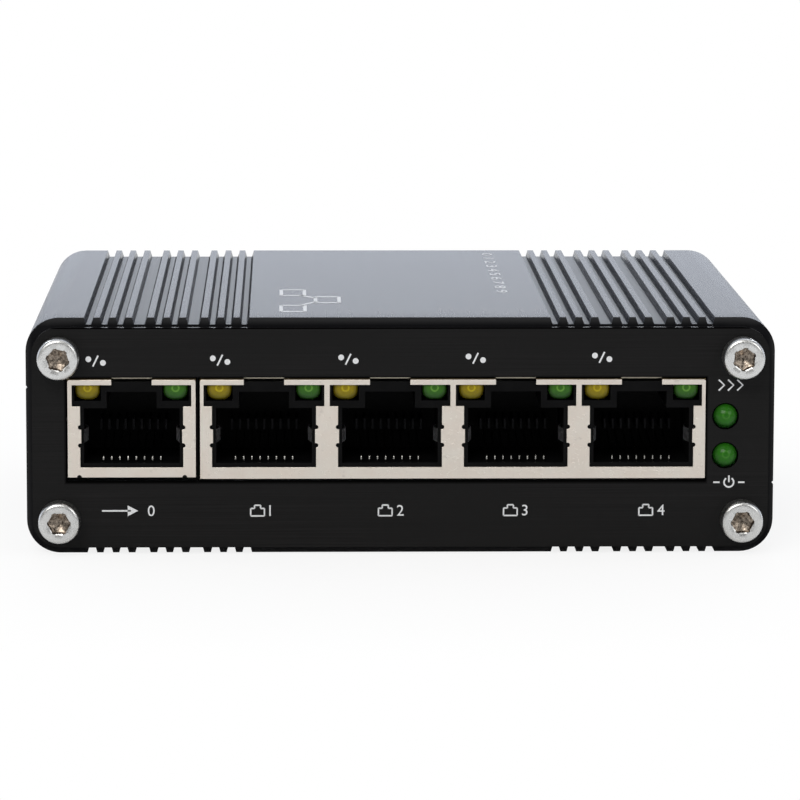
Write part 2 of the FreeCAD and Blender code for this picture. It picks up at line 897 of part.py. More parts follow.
def make_shield(label, centre, width, ports, margin, lamp_window):
    """A folded sheet cover, open at the back and under all but its front."""
    body = new_body(label)
    sheet_size = cell("ShieldSheet")
    half = width / 2
    depth = cell("JackDepth")
    outline = front_sketch(body, jack_back)
    add_rectangle(outline, (centre - half, jack_bottom), (centre + half, jack_top))
    pad(body, outline, depth)
    hollow = front_sketch(body, jack_back)
    low = (centre - half + sheet_size, jack_bottom + sheet_size)
    add_rectangle(hollow, low, (centre + half - sheet_size, jack_top - sheet_size))
    pocket(body, hollow, depth - sheet_size)
    under = front_sketch(body, jack_back)
    low = (centre - half + sheet_size, jack_bottom)
    add_rectangle(under, low, (centre + half - sheet_size, jack_bottom + sheet_size))
    pocket(body, under, depth - cell("ShieldFlap"))
    windows = front_sketch(body, housing_front)
    for x in ports:
        add_window(windows, x, margin, lamp_window)
    pocket(body, windows, sheet_size)


def led_places(x, lamp_window):
    """Centres of the yellow and green lamp of a port."""
    reach = lamp_window / 2 - cell("JackLedInset") - cell("JackLedRadius")
    z = jack_bottom + cell("LedWindowTop") - cell("JackLedDrop") + cell("JackLedRadius")
    return (x - reach, z), (x + reach, z)


def make_housing(label, centre, width, ports, lamp_window):
    """The black insulator with its plug sockets, lamp seats and contact slots."""
    body = new_body(label)
    gap = cell("HousingClearance")
    inset = cell("ShieldSheet") + gap
    half = width / 2
    bottom = jack_bottom + cell("ShieldSheet")
    outline = front_sketch(body, housing_back)
    add_rectangle(outline, (centre - half + inset, bottom), (centre + half - inset, jack_top - inset))
    pad(body, outline, housing_back - housing_front)
    sockets = front_sketch(body, housing_front + cell("SocketLength"))
    socket_half = cell("SocketWidth") / 2
    latch_half = cell("LatchWidth") / 2
    floor = jack_bottom + cell("SocketBottom")
    roof = jack_bottom + cell("SocketTop")
    latch = jack_bottom + cell("LatchTop")
    for x in ports:
        add_polygon(sockets, [
            (x - socket_half, floor),
            (x + socket_half, floor),
            (x + socket_half, roof),
            (x + latch_half, roof),
            (x + latch_half, latch),
            (x - latch_half, latch),
            (x - latch_half, roof),
            (x - socket_half, roof),
        ])
    pocket(body, sockets, cell("SocketLength"))
    seats = front_sketch(body, housing_front + cell("JackLedLength"))
    lamp_radius = cell("JackLedRadius") + gap
    for x in ports:
        for lamp_x, lamp_z in led_places(x, lamp_window):
            low = (lamp_x - lamp_radius, lamp_z - lamp_radius)
            add_rectangle(seats, low, (lamp_x + lamp_radius, jack_top - inset))
    pocket(body, seats, cell("JackLedLength"))
    slots = plan_sketch(body, bottom)
    slot_gap = cell("ContactSlotClearance")
    front = jack_front + cell("ContactLeg") - slot_gap
    back = front + cell("ContactThickness") + 2 * slot_gap
    slot_half = cell("ContactWidth") / 2 + slot_gap
    for x in ports:
        for number in range(int(SIZES["ContactCount"])):
            middle = x + contact_offset(number)
            add_rectangle(slots, (middle - slot_half, front), (middle + slot_half, back))
    pocket(body, slots, floor - bottom)


def contact_offset(number):
    return cell("ContactPitch") * number - (cell("ContactCount") - 1) * cell("ContactPitch") / 2


def make_contacts(label, x):
    """Sprung contact wires of one port: a leg on the board, a run to the mouth and a slanted tongue."""
    body = new_body(label)
    thick = cell("ContactThickness")
    leg = jack_front + cell("ContactLeg")
    bend = jack_front + cell("ContactBend")
    tip = jack_front + cell("ContactTip")
    floor = jack_bottom + cell("SocketBottom")
    top = jack_bottom + cell("ContactRise")
    start = x + contact_offset(0) - cell("ContactWidth") / 2
    profile = side_sketch(body, start)
    add_polygon(profile, [
        (leg, jack_bottom),
        (leg + thick, jack_bottom),
        (leg + thick, floor + thick),
        (bend + 2 * thick, floor + thick),
        (tip, top - thick),
        (tip, top),
        (bend, floor + 1.5 * thick),
        (bend, floor),
        (leg, floor),
    ])
    one = pad(body, profile, cell("ContactWidth"))
    row_of(body, one, "X_Axis", cell("ContactPitch"), cell("ContactCount"))


def make_jack_led(label, spot):
    """A round lamp, flat where it lies against the top of the housing."""
    body = new_body(label)
    x, z = spot
    radius = cell("JackLedRadius")
    back = housing_front + cell("JackLedLength")
    top = jack_top - cell("ShieldSheet") - cell("HousingClearance")
    outline = front_sketch(body, back)
    add_circle(outline, (x, z), radius)
    pad(body, outline, cell("JackLedLength"))
    flat = front_sketch(body, back)
    add_rectangle(flat, (x - 2 * radius, top), (x + 2 * radius, top + radius))
    pocket(body, flat, cell("JackLedLength"))


def make_jacks():
    sets = [
        ("uplink", uplink_centre, uplink_width, [uplink_centre], "Uplink"),
        ("ports", ports_centre, ports_width, port_centres, "Ports"),
    ]
    for label, centre, width, places, sizes in sets:
        lamp_window = cell(f"{sizes}LampWindow")
        margin = cell(f"{sizes}Margin")
        make_shield(f"{label}_shield", centre, width, places, margin, lamp_window)
        make_housing(f"{label}_housing", centre, width, places, lamp_window)
        for number, x in enumerate(places, start=1):
            name = "uplink" if label == "uplink" else f"port_{number}"
            make_contacts(f"{name}_contacts", x)
            yellow, green = led_places(x, lamp_window)
            make_jack_led(f"{name}_yellow_led", yellow)
            make_jack_led(f"{name}_green_led", green)


# ---------------------------------------------------------------------------
# Status lamps
# ---------------------------------------------------------------------------

lamp_tip = plate_front - cell("LampProud")
lamp_flange = lamp_tip + cell("LampLength")
lamp_back = lamp_flange + cell("LampFlangeLength")


def make_status_lamp(label, z):
    """A round lamp along Y with a domed front and a flange at its back."""
    body = new_body(label)
    radius = cell("LampRadius")
    length = cell("LampLength")
    outline = front_sketch(body, length)
    add_circle(outline, (ZERO, ZERO), radius)
    pad(body, outline, length)
    doc.recompute()
    names = [
        f"Edge{number}" for number, edge in enumerate(body.Shape.Edges, start=1)
        if abs(edge.BoundBox.YMax) < 1e-6
    ]
    dome = body.newObject("PartDesign::Fillet", f"{body.Name}Dome")
    dome.Base = (body.Group[-2], names)
    bind(dome, "Radius", radius - cell("LampDomeFlat"))
    flange = front_sketch(body, length + cell("LampFlangeLength"))
    add_circle(flange, (ZERO, ZERO), cell("LampFlangeRadius"))
    pad(body, flange, cell("LampFlangeLength"))
    place(body, lamp_x, lamp_tip, z)


def make_lamp_holder():
    """A black stand that backs both status lamps, with a slot for their leads."""
    body = new_body("status_led_holder")
    x = lamp_x
    wall_size = cell("LampHolderWall")
    half_slot = cell("LampHolderSlot") / 2
    half = half_slot + wall_size
    top = cell("SpeedLampZ") + cell("LampFlangeRadius")
    back = lamp_back + cell("LampHolderDepth")
    outline = front_sketch(body, back)
    add_rectangle(outline, (x - half, board_top), (x + half, top))
    pad(body, outline, cell("LampHolderDepth"))
    slot = front_sketch(body, back)
    low = (x - half_slot, board_top + wall_size)
    add_rectangle(slot, low, (x + half_slot, top - wall_size))
    pocket(body, slot, cell("LampHolderDepth"))


def make_lamp_leads():
    """Two bent leads from each status lamp down to the board."""
    lead = cell("LeadSize")
    behind = lamp_back + cell("LampHolderDepth") + lead
    bodies = []
    for label, z, step in (("speed", cell("SpeedLampZ"), 2), ("power", cell("PowerLampZ"), 0)):
        down = behind + step * lead
        for side in (-1, 1):
            body = new_body(f"{label}_lead_{'left' if side < 0 else 'right'}")
            x = lamp_x + side * cell("LeadSpacing") / 2
            profile = side_sketch(body, x - lead / 2)
            add_polygon(profile, [
                (lamp_back, z - lead / 2),
                (down, z - lead / 2),
                (down, board_top),
                (down + lead, board_top),
                (down + lead, z + lead / 2),
                (lamp_back, z + lead / 2),
            ])
            pad(body, profile, lead)
            bodies.append(body)
    return group("status_led_leads", bodies)


# ---------------------------------------------------------------------------
# Power connection
# ---------------------------------------------------------------------------

def pin_offset(number):
    return cell("PolePitch") * number - (cell("HeaderPoles") - 1) * cell("PolePitch") / 2


def make_header():
    """The open box of the plug-in power connection, flush with the rear plate."""
    body = new_body("power_header")
    x = header_x
    half = header_half_width
    wall_size = cell("HeaderWall")
    top = board_top + cell("HeaderHeight")
    outline = front_sketch(body, plate_back)
    add_rectangle(outline, (x - half, board_top), (x + half, top))
    pad(body, outline, cell("HeaderDepth"))
    hollow = front_sketch(body, plate_back)
    low = (x - half + wall_size, board_top + wall_size)
    add_rectangle(hollow, low, (x + half - wall_size, top - wall_size))
    pocket(body, hollow, cell("HeaderDepth") - cell("HeaderBack"))
    holes = front_sketch(body, header_front + cell("HeaderBack"))
    half_pin = cell("PinSize") / 2
    for number in range(int(SIZES["HeaderPoles"])):
        middle = x + pin_offset(number)
        add_rectangle(holes, (middle - half_pin, pin_z - half_pin), (middle + half_pin, pin_z + half_pin))
    pocket(body, holes, cell("HeaderBack"))


def make_pins():
    """Square power pins, bent down to the board behind the header."""
    body = new_body("power_pins")
    pin = cell("PinSize")
    tip = header_front + cell("HeaderBack") + cell("PinReach")
    start = header_x + pin_offset(0) - pin / 2
    profile = side_sketch(body, start)
    add_polygon(profile, [
        (header_front - pin, board_top),
        (header_front, board_top),
        (header_front, pin_z - pin / 2),
        (tip, pin_z - pin / 2),
        (tip, pin_z + pin / 2),
        (header_front - pin, pin_z + pin / 2),
    ])
    one = pad(body, profile, pin)
    row_of(body, one, "X_Axis", cell("PolePitch"), cell("HeaderPoles"))


# ---------------------------------------------------------------------------
# Clip for the DIN rail
# ---------------------------------------------------------------------------

def make_clip():
    """A folded spring strip: a fixed hook at the right and a sprung hook at the left."""
    body = new_body("din_clip")
    thick = cell("ClipThickness")
    x = cell("ClipX")
    half_rail = cell("RailWidth") / 2
    fixed = x + half_rail + cell("FixedHookPlay")
    sprung = x - half_rail - cell("SpringHookPlay")
    seat = clip_back
    lip = seat + cell("RailGap")
    fixed_tip = fixed - cell("FixedHookReach")
    sprung_tip = sprung + cell("SpringHookReach")
    lever = sprung - thick - cell("LeverLength")
    lift = cell("LeverLift")
    section = plan_sketch(body, middle_z - cell("ClipWidth") / 2)
    add_polygon(section, [
        (fixed_tip, lip),
        (fixed, lip),
        (fixed, seat),
        (sprung, seat),
        (sprung, lip),
        (sprung_tip, lip),
        (sprung_tip + thick / 2, lip + thick / 2),
        (sprung_tip + thick / 2, lip + thick),
        (sprung_tip - thick / 2, lip + 2 * thick),
        (lever, lip + 2 * thick + lift),
        (lever, lip + thick + lift),
        (sprung - thick, lip + thick),
        (sprung - thick, plate_back),
        (fixed + thick, plate_back),
        (fixed + thick, lip + thick),
        (fixed_tip, lip + thick),
    ])
    pad(body, section, cell("ClipWidth"))
    bends = [
        vector_at(sprung - thick, plate_back, middle_z),
        vector_at(fixed + thick, plate_back, middle_z),
        vector_at(fixed + thick, lip + thick, middle_z),
    ]
    round_edges(body, Z_AXIS, bends, cell("ClipBend"))
    holes = front_sketch(body, seat)
    for side in (-1, 1):
        hole_x = x + side * cell("ClipScrewSpacing") / 2
        add_circle(holes, (hole_x, middle_z), cell("ClipScrewRadius") + cell("ChannelClearance"))
    pocket(body, holes, thick)
    for side in (-1, 1):
        cut_countersink(body, side, seat)


def make_clip_screws():
    """Two countersunk screws, flush with the seat of the clip."""
    bodies = []
    shank = cell("ClipScrewRadius")
    rim = cell("ClipHeadRadius")
    for side in (-1, 1):
        body = new_body(f"clip_screw_{'left' if side < 0 else 'right'}")
        profile = new_sketch(body, "YZ_Plane", ZERO)
        add_polygon(profile, [
            (ZERO, ZERO),
            (ZERO, rim),
            (shank - rim, shank),
            (-cell("ClipScrewLength"), shank),
            (-cell("ClipScrewLength"), ZERO),
        ])
        revolve(body, profile, "Y_Axis")
        socket = front_sketch(body, ZERO)
        add_polygon(socket, hexagon(cell("ClipSocketFlats"), 0))
        pocket(body, socket, cell("ClipSocketDepth"))
        x = cell("ClipX") + side * cell("ClipScrewSpacing") / 2
        place(body, x, clip_back, middle_z)
        bodies.append(body)
    return group("din_clip_screws", bodies)


# ---------------------------------------------------------------------------
# Assembly and export
# ---------------------------------------------------------------------------

make_case()
make_front_plate()
make_rear_plate()
make_plate_screws()
make_board()
make_magnetics()
make_switch_chip()
make_power_parts()
make_clock_and_memory()
make_jacks()
make_status_lamp("speed_led", cell("SpeedLampZ"))
make_status_lamp("power_led", cell("PowerLampZ"))
make_lamp_holder()
make_lamp_leads()
make_header()
make_pins()
make_clip()
make_clip_screws()
doc.recompute()

for thing in doc.Objects:
    if "Invalid" in thing.State or "Error" in thing.State:
        raise RuntimeError(f"{thing.Name} failed: {thing.State}")

grouped = {member.Name for item in doc.Objects if item.TypeId == "Part::Compound" for member in item.Links}
kinds = ("PartDesign::Body", "Part::Box", "Part::Cylinder", "Part::Compound")
subparts = [item for item in doc.Objects if item.TypeId in kinds and item.Name not in grouped]

os.makedirs("parts", exist_ok=True)
for item in subparts:
    shape = item.Shape
    if shape.isNull() or not shape.isValid():
        raise RuntimeError(f"{item.Label} has no valid shape")
    shape.exportStep(f"parts/{item.Label}.step")
    print(item.Label, len(shape.Solids), round(shape.Volume, 3))
print(len(subparts), "sub-parts")
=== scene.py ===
"""A five-port ethernet switch in a ribbed aluminium case, dressed for a studio picture.

Every length is in metres in the frame of the CAD part: +X to the right of the front,
+Y to the back, +Z up, with the origin in the middle of the underside of the case.
"""
import math

import bmesh
import bpy
from mathutils import Matrix, Vector


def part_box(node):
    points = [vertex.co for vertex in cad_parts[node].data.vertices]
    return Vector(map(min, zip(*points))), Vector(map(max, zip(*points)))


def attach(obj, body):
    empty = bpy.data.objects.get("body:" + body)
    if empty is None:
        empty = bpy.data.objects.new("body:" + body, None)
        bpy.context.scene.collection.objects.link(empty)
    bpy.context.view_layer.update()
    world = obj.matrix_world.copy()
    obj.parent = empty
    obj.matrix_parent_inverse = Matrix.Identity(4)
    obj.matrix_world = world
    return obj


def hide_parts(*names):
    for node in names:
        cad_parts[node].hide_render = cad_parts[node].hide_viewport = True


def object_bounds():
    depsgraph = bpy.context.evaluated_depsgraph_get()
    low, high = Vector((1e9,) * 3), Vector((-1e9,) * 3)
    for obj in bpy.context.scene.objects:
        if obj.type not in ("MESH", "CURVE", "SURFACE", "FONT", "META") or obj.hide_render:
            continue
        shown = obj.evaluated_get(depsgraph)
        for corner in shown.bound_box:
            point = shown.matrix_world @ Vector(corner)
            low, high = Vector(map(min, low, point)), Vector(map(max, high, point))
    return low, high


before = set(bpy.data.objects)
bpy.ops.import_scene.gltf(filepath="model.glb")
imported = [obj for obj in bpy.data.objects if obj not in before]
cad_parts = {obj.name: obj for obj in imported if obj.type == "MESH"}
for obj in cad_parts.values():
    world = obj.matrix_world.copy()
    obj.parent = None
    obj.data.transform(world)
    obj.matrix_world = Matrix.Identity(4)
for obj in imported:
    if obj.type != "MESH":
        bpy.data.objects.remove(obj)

CAD_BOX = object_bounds()
MM = 0.001
SHARP_ANGLE = 40
CASE_LOW, CASE_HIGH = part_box("upper_shell")
PLATE_LOW, PLATE_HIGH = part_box("front_plate")
REAR_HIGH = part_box("rear_plate")[1]
PORTS = ("uplink", "port_1", "port_2", "port_3", "port_4")
PORT_X = {port: sum((corner.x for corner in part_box(f"{port}_contacts")), 0.0) / 2 for port in PORTS}


# ---------------------------------------------------------------------------
# Mesh building
# ---------------------------------------------------------------------------

def facing_front(u, v, w):
    """A point drawn on a plane seen from the front; w runs to the back."""
    return Vector((u, w, v))


def facing_up(u, v, w):
    """A point drawn on a plane seen from above; w runs up."""
    return Vector((u, v, w))


def facing_right(u, v, w):
    """A point drawn on a plane seen from the right; w runs to the right."""
    return Vector((w, u, v))


def add_prism(mesh, outline, start, end, put):
    """A straight solid: an outline of (u, v) points swept from start to end."""
    near = [mesh.verts.new(put(u, v, start)) for u, v in outline]
    far = [mesh.verts.new(put(u, v, end)) for u, v in outline]
    mesh.faces.new(near[::-1])
    mesh.faces.new(far)
    for index, corner in enumerate(near):
        following = (index + 1) % len(near)
        mesh.faces.new((corner, near[following], far[following], far[index]))


def skin_loops(mesh, loops):
    """Closes a solid whose sides join each loop of corners to the next one."""
    mesh.faces.new(loops[0])
    mesh.faces.new(loops[-1][::-1])
    for lower, upper in zip(loops, loops[1:]):
        for step, corner in enumerate(lower):
            following = (step + 1) % len(lower)
            mesh.faces.new((corner, lower[following], upper[following], upper[step]))


def add_turned(mesh, rings, steps, centre, outward, start_angle=0.0):
    """A turned solid on an axis along Y.

    Each ring is (distance outward, radius), and a radius may be a function of the angle
    and the step. The first and last rings close the solid.
    """
    loops = []
    for distance, radius in rings:
        loop = []
        for step in range(steps):
            angle = start_angle + math.tau * step / steps
            reach = radius(angle, step) if callable(radius) else radius
            offset = Vector((reach * math.cos(angle), outward * distance, reach * math.sin(angle)))
            loop.append(mesh.verts.new(centre + offset))
        loops.append(loop)
    skin_loops(mesh, loops)


def box_outline(left, right, bottom, top):
    return [(left, bottom), (right, bottom), (right, top), (left, top)]


def arc_points(centre, radius, start, end, steps):
    """Points on an arc, with angles in degrees."""
    angles = [math.radians(start + (end - start) * step / steps) for step in range(steps + 1)]
    return [(centre[0] + radius * math.cos(a), centre[1] + radius * math.sin(a)) for a in angles]


def band_outline(line, width):
    """The outline of a flat band of even width along an open line of points."""
    left, right = [], []
    for index, point in enumerate(line):
        before = Vector(line[max(index - 1, 0)])
        after = Vector(line[min(index + 1, len(line) - 1)])
        run = (after - before).normalized()
        side = Vector((-run.y, run.x)) * width / 2
        left.append(tuple(Vector(point) + side))
        right.append(tuple(Vector(point) - side))
    return left + right[::-1]


def add_piece(name, mesh, material, smooth_below=35, replaced=()):
    """Turns a finished bmesh into a piece of the object."""
    bmesh.ops.recalc_face_normals(mesh, faces=mesh.faces)
    data = bpy.data.meshes.new(name)
    mesh.to_mesh(data)
    mesh.free()
    data.shade_smooth()
    data.set_sharp_from_angle(angle=math.radians(smooth_below))
    piece = bpy.data.objects.new(name, data)
    bpy.context.scene.collection.objects.link(piece)
    piece.data.materials.append(material)
    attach(piece, "root")
    if replaced:
        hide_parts(*replaced)
    return piece


def bevel(piece, width, segments):
    """Rounds the edges of a piece that are sharper than SHARP_ANGLE degrees."""
    modifier = piece.modifiers.new("Rounding", "BEVEL")
    modifier.width = width
    modifier.segments = segments
    modifier.limit_method = "ANGLE"
    modifier.angle_limit = math.radians(SHARP_ANGLE)
    modifier.harden_normals = False


# ---------------------------------------------------------------------------
# Materials
# ---------------------------------------------------------------------------

class Graph:
    """The nodes of a material or of the world, and the sums made with them."""

    def __init__(self, tree):
        self.nodes = tree.nodes
        self.links = tree.links

    def add(self, kind, **settings):
        node = self.nodes.new(kind)
        for name, value in settings.items():
            setattr(node, name, value)
        return node

    def spread(self, value, low, high, start=0.0, end=1.0):
        """Maps low..high of a value to start..end, and holds it there outside."""
        node = self.add("ShaderNodeMapRange")
        self.links.new(value, node.inputs["Value"])
        for socket, number in zip(("From Min", "From Max", "To Min", "To Max"), (low, high, start, end)):
            node.inputs[socket].default_value = number
        return node.outputs["Result"]

    def between(self, factor, start, end):
        """A number between two, for a factor from 0 to 1."""
        return self.spread(factor, 0.0, 1.0, start, end)

    def compute(self, operation, first, second=0.0):
        node = self.add("ShaderNodeMath", operation=operation)
        for socket, value in zip(node.inputs, (first, second)):
            if isinstance(value, (int, float)):
                socket.default_value = value
            else:
                self.links.new(value, socket)
        return node.outputs["Value"]

    def times(self, first, second):
        return self.compute("MULTIPLY", first, second)

    def plus(self, first, second):
        return self.compute("ADD", first, second)

    def magnitude(self, value):
        return self.compute("ABSOLUTE", value)

    def least(self, values):
        """The smallest of several values."""
        smallest, *others = values
        for value in others:
            smallest = self.compute("MINIMUM", smallest, value)
        return smallest

    def mix(self, factor, first, second):
        """A colour between two, each a colour or the output of a node."""
        node = self.add("ShaderNodeMix", data_type="RGBA")
        self.links.new(factor, node.inputs["Factor"])
        for socket, colour in ((node.inputs[6], first), (node.inputs[7], second)):
            if isinstance(colour, tuple):
                socket.default_value = (*colour, 1.0)
            else:
                self.links.new(colour, socket)
        return node.outputs[2]

    def axis(self, vector, letter):
        node = self.add("ShaderNodeSeparateXYZ")
        self.links.new(vector, node.inputs[0])
        return node.outputs[letter]


class Finish(Graph):
    """A material being made: its Principled shader and the nodes that feed it."""

    def __init__(self, name, colour, roughness, metallic=0.0, specular=0.5):
        self.material = bpy.data.materials.new(name)
        self.material.use_nodes = True
        super().__init__(self.material.node_tree)
        self.shader = self.nodes["Principled BSDF"]
        self.place = self.add("ShaderNodeTexCoord").outputs["Object"]
        self.set("Base Color", (*colour, 1.0))
        self.set("Roughness", roughness)
        self.set("Metallic", metallic)
        self.set("Specular IOR Level", specular)

    def set(self, socket, value):
        self.shader.inputs[socket].default_value = value

    def feed(self, socket, output):
        self.links.new(output, self.shader.inputs[socket])

    def noise(self, cell, detail=3.0, rough=0.55):
        """Noise from 0 to 1 whose cells have these three sizes in metres."""
        mapping = self.add("ShaderNodeMapping")
        mapping.inputs["Scale"].default_value = [1 / size for size in cell]
        self.links.new(self.place, mapping.inputs["Vector"])
        texture = self.add("ShaderNodeTexNoise")
        texture.inputs["Scale"].default_value = 1.0
        texture.inputs["Detail"].default_value = detail
        texture.inputs["Roughness"].default_value = rough
        self.links.new(mapping.outputs["Vector"], texture.inputs["Vector"])
        return texture.outputs["Fac"]

    def bump(self, height, distance, strength):
        node = self.add("ShaderNodeBump")
        node.inputs["Distance"].default_value = distance
        node.inputs["Strength"].default_value = strength
        self.links.new(height, node.inputs["Height"])
        self.feed("Normal", node.outputs["Normal"])

    def facing(self, letter):
        """1 where the surface faces along an axis, either way, and 0 where it doesn't."""
        normal = self.add("ShaderNodeNewGeometry").outputs["Normal"]
        return self.spread(self.magnitude(self.axis(normal, letter)), 0.6, 0.9)

    def beyond(self, letter, low, high):
        """How far outside a range the place is along one axis; less than 0 inside it."""
        off_middle = self.compute("SUBTRACT", self.axis(self.place, letter), (low + high) / 2)
        return self.compute("SUBTRACT", self.magnitude(off_middle), (high - low) / 2)

    def distance_from(self, point, across=False):
        """Distance in metres from a point, or from the line along Y through it."""
        shift = self.add("ShaderNodeVectorMath", operation="SUBTRACT")
        self.links.new(self.place, shift.inputs[0])
        shift.inputs[1].default_value = point
        flat = self.add("ShaderNodeVectorMath", operation="MULTIPLY")
        self.links.new(shift.outputs[0], flat.inputs[0])
        flat.inputs[1].default_value = (1.0, 0.0 if across else 1.0, 1.0)
        length = self.add("ShaderNodeVectorMath", operation="LENGTH")
        self.links.new(flat.outputs[0], length.inputs[0])
        return length.outputs["Value"]


def anodised_case():
    """Black anodised extrusion: fine die lines along Y, painted shade in the grooves and on the fin
    flanks, and matt sawn ends with a painted shadow next to the plate.
    """
    finish = Finish("AnodisedCase", (0.012, 0.013, 0.016), 0.30, specular=0.2)
    end_face = finish.facing("Y")
    depth = finish.axis(finish.place, "Y")
    lower_low, lower_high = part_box("lower_shell")
    middle = (CASE_LOW.z + lower_low.z + CASE_HIGH.z + lower_high.z) / 4
    height = finish.magnitude(finish.compute("SUBTRACT", finish.axis(finish.place, "Z"), middle))
    half = CASE_HIGH.z - middle
    groove_floor, groove_brow = half - 0.75 * MM, half - 0.45 * MM
    sunk = finish.spread(height, groove_floor, groove_brow, 1.0, 0.0)
    across = finish.magnitude(finish.axis(finish.place, "X"))
    fins_end, side_start = 40.0 * MM, 41.0 * MM
    groove = finish.times(sunk, finish.spread(across, fins_end, side_start, 1.0, 0.0))
    lines = finish.noise((0.25 * MM, 60 * MM, 0.25 * MM), 4.0)
    cloud = finish.noise((14 * MM, 20 * MM, 14 * MM), 2.0)
    face = finish.mix(cloud, (0.012, 0.014, 0.022), (0.016, 0.018, 0.027))
    # Painted shade: the grooves are coloured darker than the fin tops.
    groove_shade_black = (0.004, 0.007, 0.014)
    face = finish.mix(groove, face, groove_shade_black)
    # Painted shade: a dark line on the outward fin walls where they meet the groove floors.
    rounded = finish.add("ShaderNodeBevel", samples=6)
    rounded.inputs["Radius"].default_value = 0.22 * MM
    outward = finish.times(finish.axis(rounded.outputs[0], "X"), finish.axis(finish.place, "X"))
    flank_shade = finish.times(finish.spread(outward, 1.5 * MM, 4 * MM), groove)
    flank_shade_black = (0.003, 0.004, 0.006)
    face = finish.mix(flank_shade, face, flank_shade_black)
    # Sawn end tone, with a painted shadow that darkens the end face close to the plate.
    past_plate = finish.compute("MAXIMUM", finish.beyond("X", PLATE_LOW.x, PLATE_HIGH.x),
                                finish.beyond("Z", PLATE_LOW.z, PLATE_HIGH.z))
    shaded, sawn = (0.005, 0.005, 0.006), (0.027, 0.027, 0.028)
    sawn_end_and_shadow = finish.mix(finish.spread(past_plate, 0.0, 0.9 * MM), shaded, sawn)
    finish.feed("Base Color", finish.mix(end_face, face, sawn_end_and_shadow))
    finish.feed("Specular Tint", finish.mix(groove, (1.0, 1.0, 1.0), (0.90, 0.97, 1.0)))
    polish = finish.spread(depth, CASE_LOW.y, CASE_HIGH.y, 0.27, 0.22)
    sheen = finish.plus(polish, finish.spread(lines, 0.3, 0.7, -0.01, 0.01))
    sheen = finish.plus(sheen, finish.times(groove, 0.06))
    shine = finish.spread(depth, CASE_LOW.y, CASE_HIGH.y, 0.15, 0.24)
    shine = finish.times(shine, finish.between(groove, 1.0, 0.6))
    shine = finish.times(shine, finish.between(flank_shade, 1.0, 0.08))
    front_lip = finish.spread(depth, CASE_LOW.y, CASE_LOW.y + 5.0 * MM, 0.60, 1.0)
    finish.feed("Specular IOR Level", finish.times(shine, front_lip))
    dull = finish.times(finish.compute("MAXIMUM", end_face, flank_shade), 0.5)
    finish.feed("Roughness", finish.plus(sheen, dull))
    finish.bump(lines, 0.001 * MM, 0.15)
    return finish.material


def brushed_plate():
    """Black anodised sheet: brush lines along X, painted shadow round the jacks, a painted shade line
    along the top of the face, bright top edge.

    The painted shadow has limits in X and Z but none in depth, so it also blackens the rear plate
    behind the jacks.
    """
    finish = Finish("BrushedPlate", (0.008, 0.008, 0.008), 0.34, specular=0.085)
    brush = finish.noise((22 * MM, 0.6 * MM, 0.14 * MM), 5.0, 0.65)
    cloud = finish.noise((16 * MM, 16 * MM, 7 * MM), 2.0)
    dark, light = (0.0055, 0.0055, 0.0056), (0.014, 0.0135, 0.0136)
    streak = finish.mix(finish.spread(brush, 0.3, 0.75), dark, light)
    face = finish.mix(finish.spread(cloud, 0.35, 0.7), streak, (0.0088, 0.0087, 0.0087))
    edge = finish.facing("Z")
    # Painted shadow round the jacks, reaching farther below and to the left of them.
    outside = []
    for node in ("uplink_shield", "ports_shield"):
        low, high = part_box(node)
        outside.append(finish.compute("MAXIMUM",
                                      finish.beyond("X", low.x - 0.08 * MM, high.x - 0.04 * MM),
                                      finish.beyond("Z", low.z - 0.32 * MM, high.z)))
    painted_shade = finish.spread(finish.least(outside), 0.12 * MM, 0.45 * MM, 1.0, 0.0)
    # Painted shade: a dark line along the top of the face, under the end of the case.
    rim = finish.spread(finish.axis(finish.place, "Z"), PLATE_HIGH.z - 0.20 * MM, PLATE_HIGH.z - 0.14 * MM)
    painted_shade = finish.compute("MAXIMUM", painted_shade, rim)
    face = finish.mix(painted_shade, face, (0.0006, 0.0006, 0.0006))
    finish.feed("Base Color", finish.mix(edge, face, (0.006, 0.006, 0.007)))
    sheen = finish.spread(brush, 0.25, 0.75, 0.28, 0.42)
    finish.feed("Roughness", finish.plus(sheen, finish.times(edge, -0.14)))
    edge_gain = 100.0
    shine = finish.times(finish.between(painted_shade, 0.085, 0.01), finish.between(edge, 1.0, edge_gain))
    finish.feed("Specular IOR Level", shine)
    finish.bump(finish.times(brush, finish.between(edge, 1.0, 0.0)), 0.004 * MM, 0.4)
    return finish.material


def screw_steel(centres):
    """Stainless steel with lathe rings on the heads, and down in the sockets brown staining that is
    darkened as painted shade.
    """
    finish = Finish("ScrewSteel", (0.60, 0.60, 0.59), 0.28, metallic=1.0)
    nearest = finish.least([finish.distance_from(centre, across=True) for centre in centres])
    tool_feed = 0.11 * MM
    rings = finish.compute("SINE", finish.times(nearest, math.tau / tool_feed))
    grain = finish.noise((0.25 * MM,) * 3, 3.0)
    face = finish.mix(grain, (0.62, 0.62, 0.61), (0.78, 0.78, 0.76))
    off_seat = finish.compute("SUBTRACT", finish.axis(finish.place, "Y"), centres[0][1])
    sunk = finish.compute("SUBTRACT", HEAD_HEIGHT, finish.magnitude(off_seat))
    in_socket = finish.times(finish.spread(nearest, 1.50 * MM, 1.56 * MM, 1.0, 0.0),
                             finish.spread(sunk, 0.085 * MM, 0.115 * MM))
    pits = finish.noise((0.30 * MM, 0.5 * MM, 0.30 * MM), 3.0, 0.65)
    # Brown staining down in the sockets, darkened further as painted shade.
    stain_and_shade = finish.mix(finish.spread(pits, 0.32, 0.68), (0.045, 0.034, 0.026), (0.46, 0.39, 0.32))
    finish.feed("Base Color", finish.mix(in_socket, face, stain_and_shade))
    finish.feed("Roughness", finish.spread(grain, 0.3, 0.7, 0.24, 0.34))
    pit_depth = 14.0
    turned = finish.plus(finish.times(rings, 0.5), grain)
    pitted = finish.times(finish.times(pits, in_socket), pit_depth)
    finish.bump(finish.plus(turned, pitted), 0.002 * MM, 0.5)
    return finish.material


